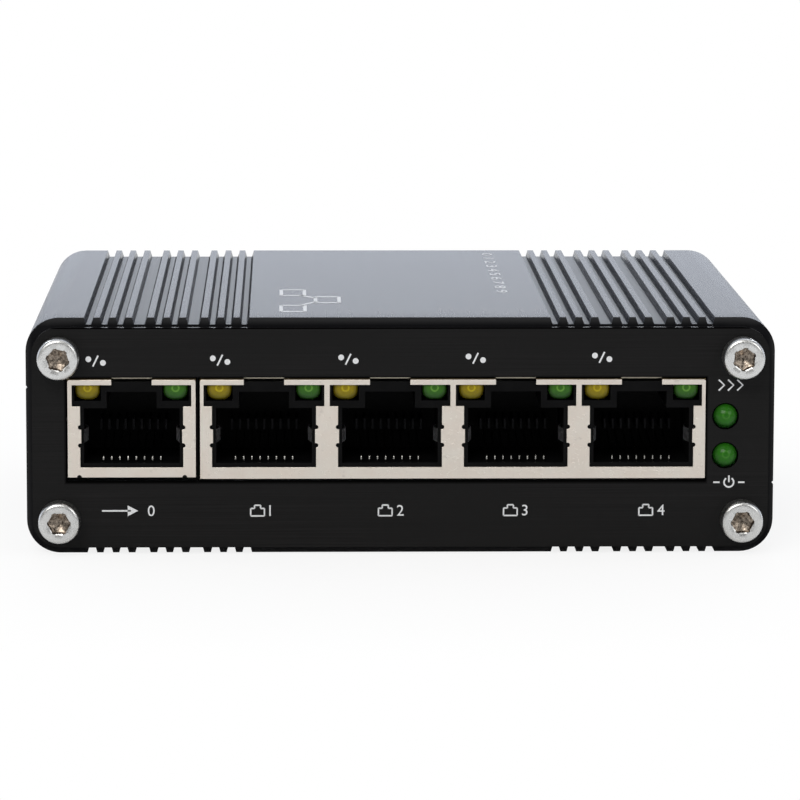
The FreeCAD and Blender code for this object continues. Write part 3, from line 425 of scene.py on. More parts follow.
def shield_nickel(face_y, top_z):
    """Nickel plated sheet: warm with small stains; painted shade just behind the face, painted light that
    makes it paler deeper inside, and painted shade under its roof.
    """
    finish = Finish("ShieldNickel", (0.74, 0.68, 0.62), 0.30, metallic=1.0)
    cloud = finish.noise((3.2 * MM, 3.2 * MM, 2.4 * MM), 3.0)
    grain = finish.noise((0.35 * MM, 0.35 * MM, 0.2 * MM), 4.0)
    spots = finish.spread(finish.noise((1.3 * MM, 1.3 * MM, 1.0 * MM), 2.0), 0.66, 0.76)
    tone = finish.mix(finish.spread(cloud, 0.3, 0.7), (0.79, 0.71, 0.625), (0.80, 0.745, 0.665))
    tone = finish.mix(finish.times(spots, 0.35), tone, (0.45, 0.40, 0.36))
    depth = finish.axis(finish.place, "Y")
    # Painted shade: the sheet turns dark just behind the face, at the mouth of the socket.
    behind_face_shade = finish.spread(depth, face_y + 0.22 * MM, face_y + 0.30 * MM)
    tone = finish.mix(behind_face_shade, tone, (0.12, 0.09, 0.045))
    # Painted light: deeper inside, the tabs and sides are coloured paler than the outside.
    inside = finish.spread(depth, face_y + 0.5 * MM, face_y + 1.0 * MM)
    tone = finish.mix(inside, tone, (0.92, 0.92, 0.95))
    # Painted shade: the underside of the roof is darker than the rest of the inside.
    high_up = finish.spread(finish.axis(finish.place, "Z"), top_z - 1.0 * MM, top_z - 0.8 * MM)
    roof = finish.times(inside, high_up)
    finish.feed("Base Color", finish.mix(roof, tone, (0.50, 0.46, 0.36)))
    finish.feed("Roughness", finish.spread(grain, 0.3, 0.7, 0.26, 0.40))
    finish.bump(grain, 0.003 * MM, 0.5)
    return finish.material


def plain_metal(name, dark, light, roughness, cell):
    """Bare or plated metal with cloudy tone and fine grain."""
    finish = Finish(name, light, roughness, metallic=1.0)
    cloud = finish.noise(cell, 3.0)
    grain = finish.noise([size / 8 for size in cell], 4.0)
    finish.feed("Base Color", finish.mix(finish.spread(cloud, 0.3, 0.7), dark, light))
    finish.feed("Roughness", finish.spread(grain, 0.3, 0.7, roughness - 0.06, roughness + 0.08))
    finish.bump(grain, 0.004 * MM, 0.4)
    return finish.material


def contact_gold(face_y):
    """Pale flash on the bends at the mouth; farther in, the wire is painted dark as painted shade."""
    finish = Finish("ContactGold", (0.92, 0.74, 0.42), 0.25, metallic=1.0)
    cloud = finish.noise((0.8 * MM,) * 3, 3.0)
    grain = finish.noise((0.1 * MM,) * 3, 4.0)
    bright = finish.mix(finish.spread(cloud, 0.3, 0.7), (0.42, 0.41, 0.38), (0.50, 0.49, 0.46))
    # Painted shade: the wire turns dark farther into the socket.
    inside = finish.spread(finish.axis(finish.place, "Y"), face_y + 0.2 * MM, face_y + 0.8 * MM)
    finish.feed("Base Color", finish.mix(inside, bright, (0.03, 0.025, 0.018)))
    finish.feed("Roughness", finish.spread(grain, 0.3, 0.7, 0.20, 0.32))
    finish.bump(grain, 0.004 * MM, 0.4)
    return finish.material


def moulded(name, dark, light, roughness, grain=0.25, specular=0.4):
    """Moulded plastic or resin: fine spark-eroded texture and a little uneven tone."""
    finish = Finish(name, light, roughness, specular=specular)
    cloud = finish.noise((2.5 * MM,) * 3, 2.0)
    pores = finish.noise((grain * MM,) * 3, 3.0)
    finish.feed("Base Color", finish.mix(finish.spread(cloud, 0.3, 0.7), dark, light))
    finish.feed("Roughness", finish.spread(pores, 0.3, 0.7, roughness - 0.05, roughness + 0.1))
    finish.bump(pores, 0.004 * MM, 0.5)
    return finish.material


def lamp_lens(name, centre, radius, eye, dark, middle, pale, ring_highlight):
    """A tinted lens with a painted highlight ring round the spot, a paler foot as painted reflection and a
    darker rim as painted shade.

    The ring lies above the centre by eye times the radius.
    """
    finish = Finish(name, middle, 0.22, specular=0.15)
    drop = finish.axis(finish.place, "Z")
    # Painted reflection: the foot of the lens is coloured paler.
    foot = finish.spread(drop, centre[2] - 0.9 * radius, centre[2] - 0.15 * radius, 1.0, 0.0)
    body = finish.mix(foot, middle, pale)
    away = finish.distance_from((centre[0], centre[1], centre[2] + eye * radius), across=True)
    # Painted shade: the lens darkens towards its rim.
    rim = finish.spread(away, 0.62 * radius, 1.0 * radius)
    body = finish.mix(rim, body, dark)
    # Painted highlight: a bright ring round the spot.
    ring_radius = 0.26 * radius
    off_ring = finish.magnitude(finish.compute("SUBTRACT", away, ring_radius))
    ring = finish.spread(off_ring, 0.02 * radius, 0.10 * radius, 0.55, 0.0)
    body = finish.mix(ring, body, ring_highlight)
    haze = finish.noise((0.4 * MM,) * 3)
    body = finish.mix(finish.spread(haze, 0.35, 0.75, 0.0, 0.25), body, dark)
    finish.feed("Base Color", body)
    finish.feed("Roughness", finish.spread(haze, 0.3, 0.7, 0.16, 0.30))
    finish.set("Coat Weight", 0.1)
    finish.set("Coat Roughness", 0.08)
    finish.bump(haze, 0.004 * MM, 0.3)
    return finish.material


def circuit_board():
    """Green solder mask over copper tracks, with painted shade along the front edge."""
    finish = Finish("BoardGreen", (0.01, 0.12, 0.04), 0.35)
    tracks = finish.add("ShaderNodeTexBrick")
    mapping = finish.add("ShaderNodeMapping")
    track_cell = 4 * MM
    mapping.inputs["Scale"].default_value = (1 / track_cell,) * 3
    finish.links.new(finish.place, mapping.inputs["Vector"])
    finish.links.new(mapping.outputs["Vector"], tracks.inputs["Vector"])
    tracks.inputs["Color1"].default_value = (0.012, 0.13, 0.045, 1)
    tracks.inputs["Color2"].default_value = (0.010, 0.11, 0.038, 1)
    tracks.inputs["Mortar"].default_value = (0.022, 0.20, 0.07, 1)
    tracks.inputs["Scale"].default_value = 1.0
    tracks.inputs["Mortar Size"].default_value = 0.06
    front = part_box("circuit_board")[0].y
    # Painted shade: the board turns near black along its front edge, under the jacks.
    front_shade = finish.spread(finish.axis(finish.place, "Y"), front + 0.5 * MM, front + 2.5 * MM)
    finish.feed("Base Color", finish.mix(front_shade, (0.0015, 0.002, 0.0015), tracks.outputs["Color"]))
    weave = finish.noise((0.5 * MM,) * 3)
    finish.feed("Roughness", finish.spread(weave, 0.3, 0.7, 0.28, 0.42))
    finish.bump(weave, 0.004 * MM, 0.4)
    return finish.material


def printed_mark(name, colour, roughness=0.55):
    """Screen printed ink, a little thin here and there."""
    finish = Finish(name, colour, roughness, specular=0.3)
    grain = finish.noise((0.09 * MM,) * 3, 2.0)
    thin = tuple(0.72 * part for part in colour)
    finish.feed("Base Color", finish.mix(finish.spread(grain, 0.35, 0.75, 0.0, 0.7), colour, thin))
    finish.bump(grain, 0.002 * MM, 0.3)
    return finish.material


def dress(material, *nodes):
    """Gives CAD nodes their finish."""
    for node in nodes:
        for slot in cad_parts[node].material_slots:
            slot.material = material


SHIELD_LOW, SHIELD_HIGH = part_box("uplink_shield")
NICKEL = shield_nickel(SHIELD_LOW.y, SHIELD_HIGH.z)
GOLD = contact_gold(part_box("uplink_contacts")[0].y)
# The comb is a lighter copy of the black plastic: painted light on the teeth.
COMB_BLACK = moulded("CombBlack", (0.004, 0.004, 0.005), (0.010, 0.010, 0.011), 0.5, specular=0.08)
WHITE_INK = printed_mark("WhiteInk", (0.74, 0.75, 0.76))
SILVER_INK = printed_mark("SilverInk", (0.50, 0.51, 0.53), 0.45)

dress(anodised_case(), "upper_shell", "lower_shell")
dress(brushed_plate(), "front_plate", "rear_plate")
dress(moulded("BlackPlastic", (0.0026, 0.0026, 0.0028), (0.0045, 0.0045, 0.0048), 0.45, specular=0.055),
      "uplink_housing", "ports_housing", "status_led_holder")
dress(plain_metal("TinnedMetal", (0.62, 0.62, 0.60), (0.80, 0.80, 0.78), 0.30, (1.2 * MM,) * 3),
      "switch_chip_leads", "status_led_leads", "power_pins", "crystal")
dress(plain_metal("CapacitorCan", (0.66, 0.67, 0.68), (0.82, 0.83, 0.84), 0.25, (3 * MM,) * 3),
      "bulk_capacitor", "output_capacitor")
dress(moulded("ChipBlack", (0.012, 0.012, 0.013), (0.024, 0.024, 0.026), 0.55, grain=0.15),
      "switch_chip", "regulator_chip", "config_memory", "surge_diode",
      "uplink_magnetics", "port_magnetics_left", "port_magnetics_right")
dress(moulded("Ferrite", (0.030, 0.030, 0.032), (0.060, 0.058, 0.056), 0.70, grain=0.3), "power_inductor")
dress(moulded("FuseWhite", (0.62, 0.61, 0.57), (0.76, 0.75, 0.71), 0.45, grain=0.3), "input_fuse")
dress(circuit_board(), "circuit_board")
dress(moulded("HeaderGreen", (0.010, 0.16, 0.045), (0.018, 0.25, 0.075), 0.38), "power_header")
dress(plain_metal("ClipSteel", (0.40, 0.40, 0.40), (0.58, 0.58, 0.57), 0.32, (6 * MM, 6 * MM, 1.5 * MM)),
      "din_clip")


# ---------------------------------------------------------------------------
# Corner screws with knurled heads
# ---------------------------------------------------------------------------

HEAD_RADIUS = 2.62 * MM
HEAD_HEIGHT = 2.6 * MM
SOCKET_FLATS = 2.5 * MM
SOCKET_DEPTH = 1.5 * MM
SHANK_RADIUS = 1.48 * MM
KNURLS = 60
KNURL_DEPTH = 0.06 * MM


def hexagon_reach(flats, turn, grow=0.0):
    """The distance to a hexagon's side at an angle, for a hexagon turned by some degrees."""
    def reach(angle, step):
        sixth = math.tau / 6
        within = (angle - math.radians(turn)) % sixth - sixth / 2
        return (flats / 2 + grow) / math.cos(within)
    return reach


def knurled(radius, depth):
    """A radius that goes in and out from step to step."""
    return lambda angle, step: radius - (depth if step % 2 else 0.0)


def add_cap_screw(mesh, seat, outward, turn, length):
    """A socket cap screw: knurled side, rounded rim, hexagon socket with a drilled floor."""
    top = HEAD_HEIGHT
    rings = [
        (-length, SHANK_RADIUS * 0.8),
        (-length + 0.4 * MM, SHANK_RADIUS),
        (0.0, SHANK_RADIUS),
        (0.0, HEAD_RADIUS - 0.12 * MM),
        (0.12 * MM, HEAD_RADIUS - 0.02 * MM),
        (0.2 * MM, knurled(HEAD_RADIUS, KNURL_DEPTH)),
        (top - 0.62 * MM, knurled(HEAD_RADIUS, KNURL_DEPTH)),
        (top - 0.50 * MM, HEAD_RADIUS - 0.06 * MM),
        (top - 0.26 * MM, HEAD_RADIUS - 0.11 * MM),
        (top - 0.10 * MM, HEAD_RADIUS - 0.22 * MM),
        (top - 0.02 * MM, HEAD_RADIUS - 0.40 * MM),
        (top, HEAD_RADIUS - 0.60 * MM),
        (top, SOCKET_FLATS / 2 + 0.22 * MM),
        (top - 0.10 * MM, hexagon_reach(SOCKET_FLATS, turn, 0.02 * MM)),
        (top - 0.16 * MM, hexagon_reach(SOCKET_FLATS, turn)),
        (top - SOCKET_DEPTH + 0.1 * MM, hexagon_reach(SOCKET_FLATS, turn)),
        (top - SOCKET_DEPTH, 1.1 * MM),
        (top - SOCKET_DEPTH - 0.25 * MM, 0.5 * MM),
        (top - SOCKET_DEPTH - 0.40 * MM, 0.05 * MM),
    ]
    add_turned(mesh, rings, 2 * KNURLS, seat, outward, math.radians(turn))


def make_corner_screws(name, node, seat_y, outward, turns):
    """The four screws of one plate; turns go round from the lower left of the front view."""
    low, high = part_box(node)
    near_x, far_x = low.x + HEAD_RADIUS, high.x - HEAD_RADIUS
    near_z, far_z = low.z + HEAD_RADIUS, high.z - HEAD_RADIUS
    places = ((near_x, near_z), (far_x, near_z), (far_x, far_z), (near_x, far_z))
    length = (high.y - low.y) - HEAD_HEIGHT
    mesh = bmesh.new()
    centres = []
    for (x, z), turn in zip(places, turns):
        seat = Vector((x, seat_y, z))
        centres.append(tuple(seat))
        add_cap_screw(mesh, seat, outward, turn, length)
    add_piece(name, mesh, screw_steel(centres), 32, [node])


make_corner_screws("front_cap_screws", "front_plate_screws", PLATE_LOW.y, -1, (0, 3, 24, 47))
make_corner_screws("rear_cap_screws", "rear_plate_screws", REAR_HIGH.y, 1, (12, 35, 8, 51))


# ---------------------------------------------------------------------------
# Shields of the network jacks
# ---------------------------------------------------------------------------

SHEET = 0.3 * MM
TOP_SHEET = 0.15 * MM
WINDOW_HALF = {port: (6.38 if port == "uplink" else 6.46) * MM for port in PORTS}
LED_WINDOW_HALF = {port: (7.4 if port == "uplink" else 7.485) * MM for port in PORTS}
WINDOW_BOTTOM = 1.44 * MM
LED_WINDOW_BOTTOM = 9.1 * MM
LED_WINDOW_TOP = 11.77 * MM
LATCH_HALF = 2.5 * MM
LATCH_CUT = 1.6 * MM
NOTCH_HEIGHTS = (4.2 * MM, 6.48 * MM)
NOTCH_RADIUS = 0.28 * MM
TAB_STEP = 0.13 * MM
FOOT_NOTCH_RADIUS = 0.30 * MM
FOLD = 0.25 * MM
FOLD_DROP = 0.08 * MM


def window_path(port, base, brow):
    """One port's opening, from the right of the latch slot at the brow round to its left.

    Small round notches lie above and below the spring tabs.
    """
    x, half, lamp_half = PORT_X[port], WINDOW_HALF[port], LED_WINDOW_HALF[port]
    waist = half - TAB_STEP
    lower_notch, upper_notch = NOTCH_HEIGHTS
    right = [(half, WINDOW_BOTTOM)]
    for height, below, above in ((lower_notch, half, waist), (upper_notch, waist, half)):
        right.append((below, height - NOTCH_RADIUS))
        right += arc_points((half, height), NOTCH_RADIUS, -70, 70, 6)
        right.append((above, height + NOTCH_RADIUS))
    right += [
        (half, LED_WINDOW_BOTTOM),
        (lamp_half, LED_WINDOW_BOTTOM),
        (lamp_half, LED_WINDOW_TOP),
        (LATCH_HALF, LED_WINDOW_TOP),
        (LATCH_HALF, brow - base),
    ]
    left = [(-u, v) for u, v in right]
    return [(x + u, base + v) for u, v in right[::-1] + left]


def face_curve(outline, y):
    """A flat sheet with slightly rounded punched edges, from a closed outline."""
    curve = bpy.data.curves.new("ShieldFace", "CURVE")
    curve.dimensions = "2D"
    curve.fill_mode = "BOTH"
    rounding = 0.03 * MM
    curve.extrude = SHEET / 2 - rounding
    curve.bevel_depth = rounding
    curve.bevel_resolution = 1
    curve.offset = -rounding
    spline = curve.splines.new("POLY")
    spline.points.add(len(outline) - 1)
    for point, (u, v) in zip(spline.points, outline):
        point.co = (u, v, 0.0, 1.0)
    spline.use_cyclic_u = True
    holder = bpy.data.objects.new("ShieldFace", curve)
    mesh = bmesh.new()
    mesh.from_mesh(bpy.data.meshes.new_from_object(holder))
    bpy.data.objects.remove(holder)
    turn = Matrix.Translation((0, y + SHEET / 2, 0)) @ Matrix.Rotation(math.pi / 2, 4, "X")
    mesh.transform(turn)
    return mesh


def make_shield(name, node, ports, lift, foot_notches):
    """The folded cover: a punched face, a top, two sides and a short tongue underneath."""
    low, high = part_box(node)
    edge, brow = low.z + lift, high.z - FOLD_DROP
    outline = [(low.x, edge)]
    for x in foot_notches:
        outline += arc_points((low.x + x, edge), FOOT_NOTCH_RADIUS, 180, 0, 8)
    outline.append((high.x, edge))
    outline += arc_points((high.x - FOLD, brow - FOLD), FOLD, 0, 90, 4)
    for port in reversed(ports):
        outline += window_path(port, low.z, brow)
    outline += arc_points((low.x + FOLD, brow - FOLD), FOLD, 90, 180, 4)
    mesh = face_curve(outline, low.y)
    start, cut = low.y + SHEET, low.y + LATCH_CUT
    roof = [(low.x, start)]
    for port in ports:
        left, right = PORT_X[port] - LATCH_HALF, PORT_X[port] + LATCH_HALF
        roof += [(left, start), (left, cut), (right, cut), (right, start)]
    roof += [(high.x, start), (high.x, high.y), (low.x, high.y)]
    add_prism(mesh, roof, high.z - TOP_SHEET, high.z, facing_up)
    for left in (low.x, high.x - SHEET):
        sides = box_outline(left, left + SHEET, edge, high.z - TOP_SHEET)
        add_prism(mesh, sides, start, high.y, facing_front)
    tongue = box_outline(low.x + SHEET, high.x - SHEET, edge, edge + SHEET)
    add_prism(mesh, tongue, low.y + 1.2 * MM, low.y + 3 * MM, facing_front)
    for port in ports:
        for side in (-1, 1):
            add_spring_tab(mesh, port, side, low)
    add_piece(name, mesh, NICKEL, 25, [node])


def add_spring_tab(mesh, port, side, low):
    """The thin earthing leaf that bends from the window's edge into the socket."""
    bottom, top = low.z + 4.45 * MM, low.z + 6.1 * MM
    line = [
        (6.10 * MM, 0.36 * MM),
        (6.00 * MM, 0.8 * MM),
        (5.70 * MM, 2.0 * MM),
        (5.52 * MM, 3.2 * MM),
        (5.60 * MM, 4.2 * MM),
        (5.86 * MM, 5.2 * MM),
    ]
    x = PORT_X[port]
    outline = [(x + side * u, low.y + v) for u, v in band_outline(line, 0.12 * MM)]
    add_prism(mesh, outline, bottom, top, facing_up)


make_shield("uplink_cover", "uplink_shield", PORTS[:1], 0.2 * MM, (1.43 * MM, 14.5 * MM))
make_shield("ports_cover", "ports_shield", PORTS[1:], 0.0, ())


# ---------------------------------------------------------------------------
# Inside the sockets
# ---------------------------------------------------------------------------

CONTACTS = 8
CONTACT_PITCH = 1.016 * MM
WIRE_WIDTH = 0.14 * MM
WIRE_THICKNESS = 0.27 * MM
LENS_RINGS = ((0.0, 0.30), (0.03, 0.55), (0.12, 0.78), (0.30, 0.93), (0.55, 1.0), (5.0, 1.0))
LENS_SQUARENESS = 2.7


def make_contacts(port):
    """Eight round-bent wires of one port, which come up at the mouth and slope to the back."""
    node = f"{port}_contacts"
    low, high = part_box(node)
    floor = low.z + 1.95 * MM
    bend = low.y + 0.16 * MM
    leg = low.y + 2.85 * MM
    line = [(leg, low.z), (leg, floor + 0.05 * MM)]
    line += arc_points((leg - 0.15 * MM, floor + 0.02 * MM), 0.15 * MM, 30, 90, 2)
    line += arc_points((bend + 0.14 * MM, floor + 0.29 * MM), 0.14 * MM, 270, 180, 4)
    line += arc_points((bend + 0.14 * MM, floor + 0.50 * MM), 0.14 * MM, 175, 100, 4)
    line += [(bend + 3 * MM, floor + 1.3 * MM), (high.y - 0.2 * MM, high.z - 0.16 * MM)]
    outline = band_outline(line, WIRE_THICKNESS)
    mesh = bmesh.new()
    first = PORT_X[port] - (CONTACTS - 1) * CONTACT_PITCH / 2
    for number in range(CONTACTS):
        middle = first + number * CONTACT_PITCH
        add_prism(mesh, outline, middle - WIRE_WIDTH / 2, middle + WIRE_WIDTH / 2, facing_right)
    piece = add_piece(f"{port}_wires", mesh, GOLD, 50, [node])
    bevel(piece, 0.04 * MM, 2)


def make_comb(port, housing):
    """The ribs that keep the wires apart, seen as teeth under the roof of the socket."""
    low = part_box(housing)[0]
    roof = low.z + 8.5 * MM
    tooth_foot, tooth_head = roof - 3.7 * MM, roof - 2.3 * MM
    front, back = low.y + 7.2 * MM, low.y + 12.2 * MM
    half_rib = 0.17 * MM
    mesh = bmesh.new()
    first = PORT_X[port] - CONTACTS * CONTACT_PITCH / 2
    for number in range(CONTACTS + 1):
        middle = first + number * CONTACT_PITCH
        rib = box_outline(middle - half_rib, middle + half_rib, tooth_foot, tooth_head)
        add_prism(mesh, rib, front, back, facing_front)
    piece = add_piece(f"{port}_comb", mesh, COMB_BLACK)
    bevel(piece, 0.05 * MM, 1)


def make_jack_lamp(port, colour, tones):
    """A lamp of a jack: a squarish lens with a rounded front, flat at the top.

    Each ring of the lens is (depth in millimetres, share of the radius).
    """
    node = f"{port}_{colour}_led"
    low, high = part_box(node)
    radius = (high.x - low.x) / 2
    centre = Vector(((low.x + high.x) / 2, low.y, low.z + radius))
    edge = math.degrees(math.asin((high.z - centre.z) / radius))
    mesh = bmesh.new()
    loops = []
    for depth, share in LENS_RINGS:
        loop = []
        for u, v in arc_points((0.0, 0.0), 1.0, 180 - edge, 360 + edge, 48):
            squarer = (abs(u) ** LENS_SQUARENESS + abs(v) ** LENS_SQUARENESS) ** (-1 / LENS_SQUARENESS)
            x = centre.x + radius * share * squarer * u
            z = min(centre.z + radius * share * squarer * v, high.z)
            loop.append(mesh.verts.new((x, low.y + depth * MM, z)))
        loops.append(loop)
    skin_loops(mesh, loops)
    spot = (centre.x, centre.y, centre.z + 0.1 * radius)
    lens = lamp_lens(f"Lens_{node}", spot, radius, -0.12, *tones)
    add_piece(f"{node}_lens", mesh, lens, 50, [node])


# Tones of each lens: the painted shade of the rim, the body, the painted reflection of the foot and the
# painted highlight of the ring.
YELLOW_TONES = ((0.06, 0.045, 0.001), (0.25, 0.185, 0.001), (0.17, 0.145, 0.01), (0.55, 0.45, 0.01))
GREEN_TONES = ((0.006, 0.025, 0.002), (0.030, 0.125, 0.004), (0.028, 0.085, 0.020), (0.16, 0.36, 0.05))

for port in PORTS:
    make_contacts(port)
    make_comb(port, "uplink_housing" if port == "uplink" else "ports_housing")
    make_jack_lamp(port, "yellow", YELLOW_TONES)
    make_jack_lamp(port, "green", GREEN_TONES)


# ---------------------------------------------------------------------------
# Status lamps
# ---------------------------------------------------------------------------

STATUS_RADIUS = 1.55 * MM
# Tones as for the jack lamps: painted shade, body, painted reflection and painted highlight.
STATUS_TONES = ((0.003, 0.030, 0.002), (0.018, 0.125, 0.006), (0.016, 0.12, 0.010), (0.05, 0.20, 0.02))
FLANGE_DEPTH = 1.0 * MM
DOME_STEPS = 12


def make_status_lamp(node):
    """A 3 mm lamp with a dome, a straight side and a flange behind the plate."""
    low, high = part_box(node)
    centre = Vector(((low.x + high.x) / 2, low.y, (low.z + high.z) / 2))
    flange = (high.x - low.x) / 2
    length = high.y - low.y
    rings = []
    for step in range(1, DOME_STEPS + 1):
        angle = math.pi / 2 * step / DOME_STEPS
        rings.append((-STATUS_RADIUS * (1 - math.cos(angle)), STATUS_RADIUS * math.sin(angle)))
    rings += [
        (-length + FLANGE_DEPTH, STATUS_RADIUS),
        (-length + FLANGE_DEPTH, flange),
        (-length, flange),
    ]
    mesh = bmesh.new()
    add_turned(mesh, rings, 64, centre, -1)
    lens = lamp_lens(f"Lens_{node}", tuple(centre), STATUS_RADIUS, 0.15, *STATUS_TONES)
    add_piece(f"{node}_lens", mesh, lens, 40, [node])


for node in ("speed_led", "power_led"):
    make_status_lamp(node)


# ---------------------------------------------------------------------------
# Printed marks: plain numbers and signs
# ---------------------------------------------------------------------------

INK_DEPTH = 0.02 * MM
CAP_HEIGHT = 1.35 * MM
STROKE = 0.2 * MM
THIN_LINE, LINK_LINE, WIDE_LINE = 0.45 * MM, 0.55 * MM, 0.8 * MM

# Left ends of the signs over the ports and under them, and the rows' heights, in millimetres.
LINK_SIGNS = {"uplink": -39.2, "port_1": -23.8, "port_2": -7.9, "port_3": 7.9, "port_4": 23.6}
SOCKET_SIGNS = {"port_1": -18.7, "port_2": -2.8, "port_3": 12.8, "port_4": 29.7}
LINK_ROW, SOCKET_ROW, SPEED_ROW = 23.63, 4.83, 20.53

# The network diagram on top, in millimetres: middles of its boxes, half their size, and its links.
DIAGRAM_BOXES = ((-13.4, -12.4), (-9.0, -20.2), (-13.4, -29.3))
HALF_BOX = (1.5, 3.2)
DIAGRAM_LINKS = (((-12.4, -15.6), (-10.5, -18.2)), ((-10.5, -22.2), (-12.4, -26.1)))


def add_digits(mesh, text, left, base, height, put, face, width=None):
    """Numbers as thin flat shapes, drawn upwards from (left, base) on a plane at face."""
    curve = bpy.data.curves.new("Digits", "FONT")
    curve.body = text
    curve.size = 1.0
    curve.resolution_u = 4
    holder = bpy.data.objects.new("Digits", curve)
    flat = bpy.data.meshes.new_from_object(holder)
    bpy.data.objects.remove(holder)
    xs = [vertex.co.x for vertex in flat.vertices]
    ys = [vertex.co.y for vertex in flat.vertices]
    rise = height / (max(ys) - min(ys))
    run = rise if width is None else width / (max(xs) - min(xs))
    part = bmesh.new()
    part.from_mesh(flat)
    made = bmesh.ops.extrude_face_region(part, geom=part.faces[:])
    for item in made["geom"]:
        if isinstance(item, bmesh.types.BMVert):
            item.co.z = 1.0
    for vertex in part.verts:
        u = left + (vertex.co.x - min(xs)) * run
        v = base + (vertex.co.y - min(ys)) * rise
        vertex.co = put(u, v, face - INK_DEPTH * vertex.co.z)
    merged = bpy.data.meshes.new("Digits")
    part.to_mesh(merged)
    part.free()
    mesh.from_mesh(merged)


def add_band(mesh, line, width, put, face):
    """A printed line of even width through some points."""
    add_prism(mesh, band_outline(line, width), face - INK_DEPTH, face, put)


def add_ring(mesh, centre, radius, width, put, face, start, end):
    """A ring or part of one as a flat band, with angles in degrees."""
    add_band(mesh, arc_points(centre, radius, start, end, 32), width, put, face)


def add_dot(mesh, centre, radius, put, face):
    outline = arc_points(centre, radius, 0, 345, 23)
    add_prism(mesh, outline, face - INK_DEPTH, face, put)


def link_sign(mesh, left, base, put, face):
    """Two dots on either side of a slanting line."""
    dot = 0.36 * MM
    add_dot(mesh, (left + 0.45 * MM, base + 0.9 * MM), dot, put, face)
    slant = [(left + 1.0 * MM, base), (left + 1.65 * MM, base + CAP_HEIGHT)]
    add_band(mesh, slant, STROKE, put, face)
    add_dot(mesh, (left + 2.25 * MM, base + 0.45 * MM), dot, put, face)


def socket_sign(mesh, left, base, put, face):
    """The outline of a network socket."""
    w, h = 1.7 * MM, CAP_HEIGHT
    points = [(0, 0), (w, 0), (w, 0.7 * h), (0.72 * w, 0.7 * h), (0.72 * w, h)]
    points += [(w - u, v) for u, v in reversed(points[2:])]
    for first, second in zip(points, points[1:] + points[:1]):
        line = [(left + first[0], base + first[1]), (left + second[0], base + second[1])]
        add_band(mesh, line, STROKE * 0.9, put, face)


def arrow_sign(mesh, left, base, put, face):
    """A long arrow to the right."""
    middle = base + CAP_HEIGHT / 2
    add_band(mesh, [(left, middle), (left + 3.6 * MM, middle)], STROKE, put, face)
    head = [(left + 3.2 * MM, base), (left + 4.5 * MM, middle), (left + 3.2 * MM, base + CAP_HEIGHT)]
    add_prism(mesh, head, face - INK_DEPTH, face, put)


def speed_sign(mesh, left, base, put, face):
    """Three chevrons to the right."""
    for step in range(3):
        start = left + 1.15 * MM * step
        tip = start + 0.7 * MM
        chevron = [(start, base), (tip, base + CAP_HEIGHT / 2), (start, base + CAP_HEIGHT)]
        add_band(mesh, chevron, STROKE, put, face)


def power_sign(mesh, centre, put, face):
    """An open ring with a stroke in its gap, and a short line on each side."""
    x, z = centre
    add_ring(mesh, centre, 0.6 * MM, STROKE, put, face, 125, 415)
    add_band(mesh, [centre, (x, z + 0.85 * MM)], STROKE, put, face)
    for side in (-1, 1):
        add_band(mesh, [(x + side * 1.15 * MM, z), (x + side * 1.95 * MM, z)], STROKE, put, face)


def make_front_marks():
    """The marks of the front plate."""
    mesh = bmesh.new()
    face = PLATE_LOW.y
    for number, left in enumerate(LINK_SIGNS.values()):
        base = (LINK_ROW + 0.1 * number) * MM
        link_sign(mesh, left * MM, base, facing_front, face)
    base = SOCKET_ROW * MM
    arrow_sign(mesh, -37.2 * MM, base, facing_front, face)
    add_digits(mesh, "0", -31.5 * MM, base, CAP_HEIGHT, facing_front, face)
    for number, left in enumerate(SOCKET_SIGNS.values(), start=1):
        socket_sign(mesh, left * MM, base, facing_front, face)
        add_digits(mesh, str(number), (left + 2.3) * MM, base, CAP_HEIGHT, facing_front, face)
    speed_sign(mesh, 39.5 * MM, SPEED_ROW * MM, facing_front, face)
    power_sign(mesh, (40.9 * MM, 8.98 * MM), facing_front, face)
    add_piece("front_marks", mesh, WHITE_INK, 30)


def make_top_marks():
    """A plain network diagram and a row of numbers on the smooth middle of the case."""
    mesh = bmesh.new()
    face = -CASE_HIGH.z
    half_x, half_y = HALF_BOX

    def upright(u, v, w):
        """A point drawn on the top; w runs down."""
        return Vector((u, v, -w))

    def sideways(u, v, w):
        """A point drawn on the top, with the line of print running to the front."""
        return Vector((v, -u, -w))

    for x, y in DIAGRAM_BOXES:
        corners = box_outline((x - half_x) * MM, (x + half_x) * MM, (y - half_y) * MM, (y + half_y) * MM)
        for index, side in enumerate(zip(corners, corners[1:] + corners[:1])):
            add_band(mesh, side, THIN_LINE if index % 2 else WIDE_LINE, upright, face)
    for link in DIAGRAM_LINKS:
        add_band(mesh, [(x * MM, y * MM) for x, y in link], LINK_LINE, upright, face)
    add_digits(mesh, "0 1 2 3 4 5 6 7 8 9", -34.5 * MM, 13.1 * MM, 1.45 * MM, sideways, face, 46.9 * MM)
    add_piece("top_marks", mesh, SILVER_INK, 30)


make_front_marks()
make_top_marks()


# ---------------------------------------------------------------------------
# Clip screws
# ---------------------------------------------------------------------------

CLIP_SOCKET_FLATS = 2.0 * MM


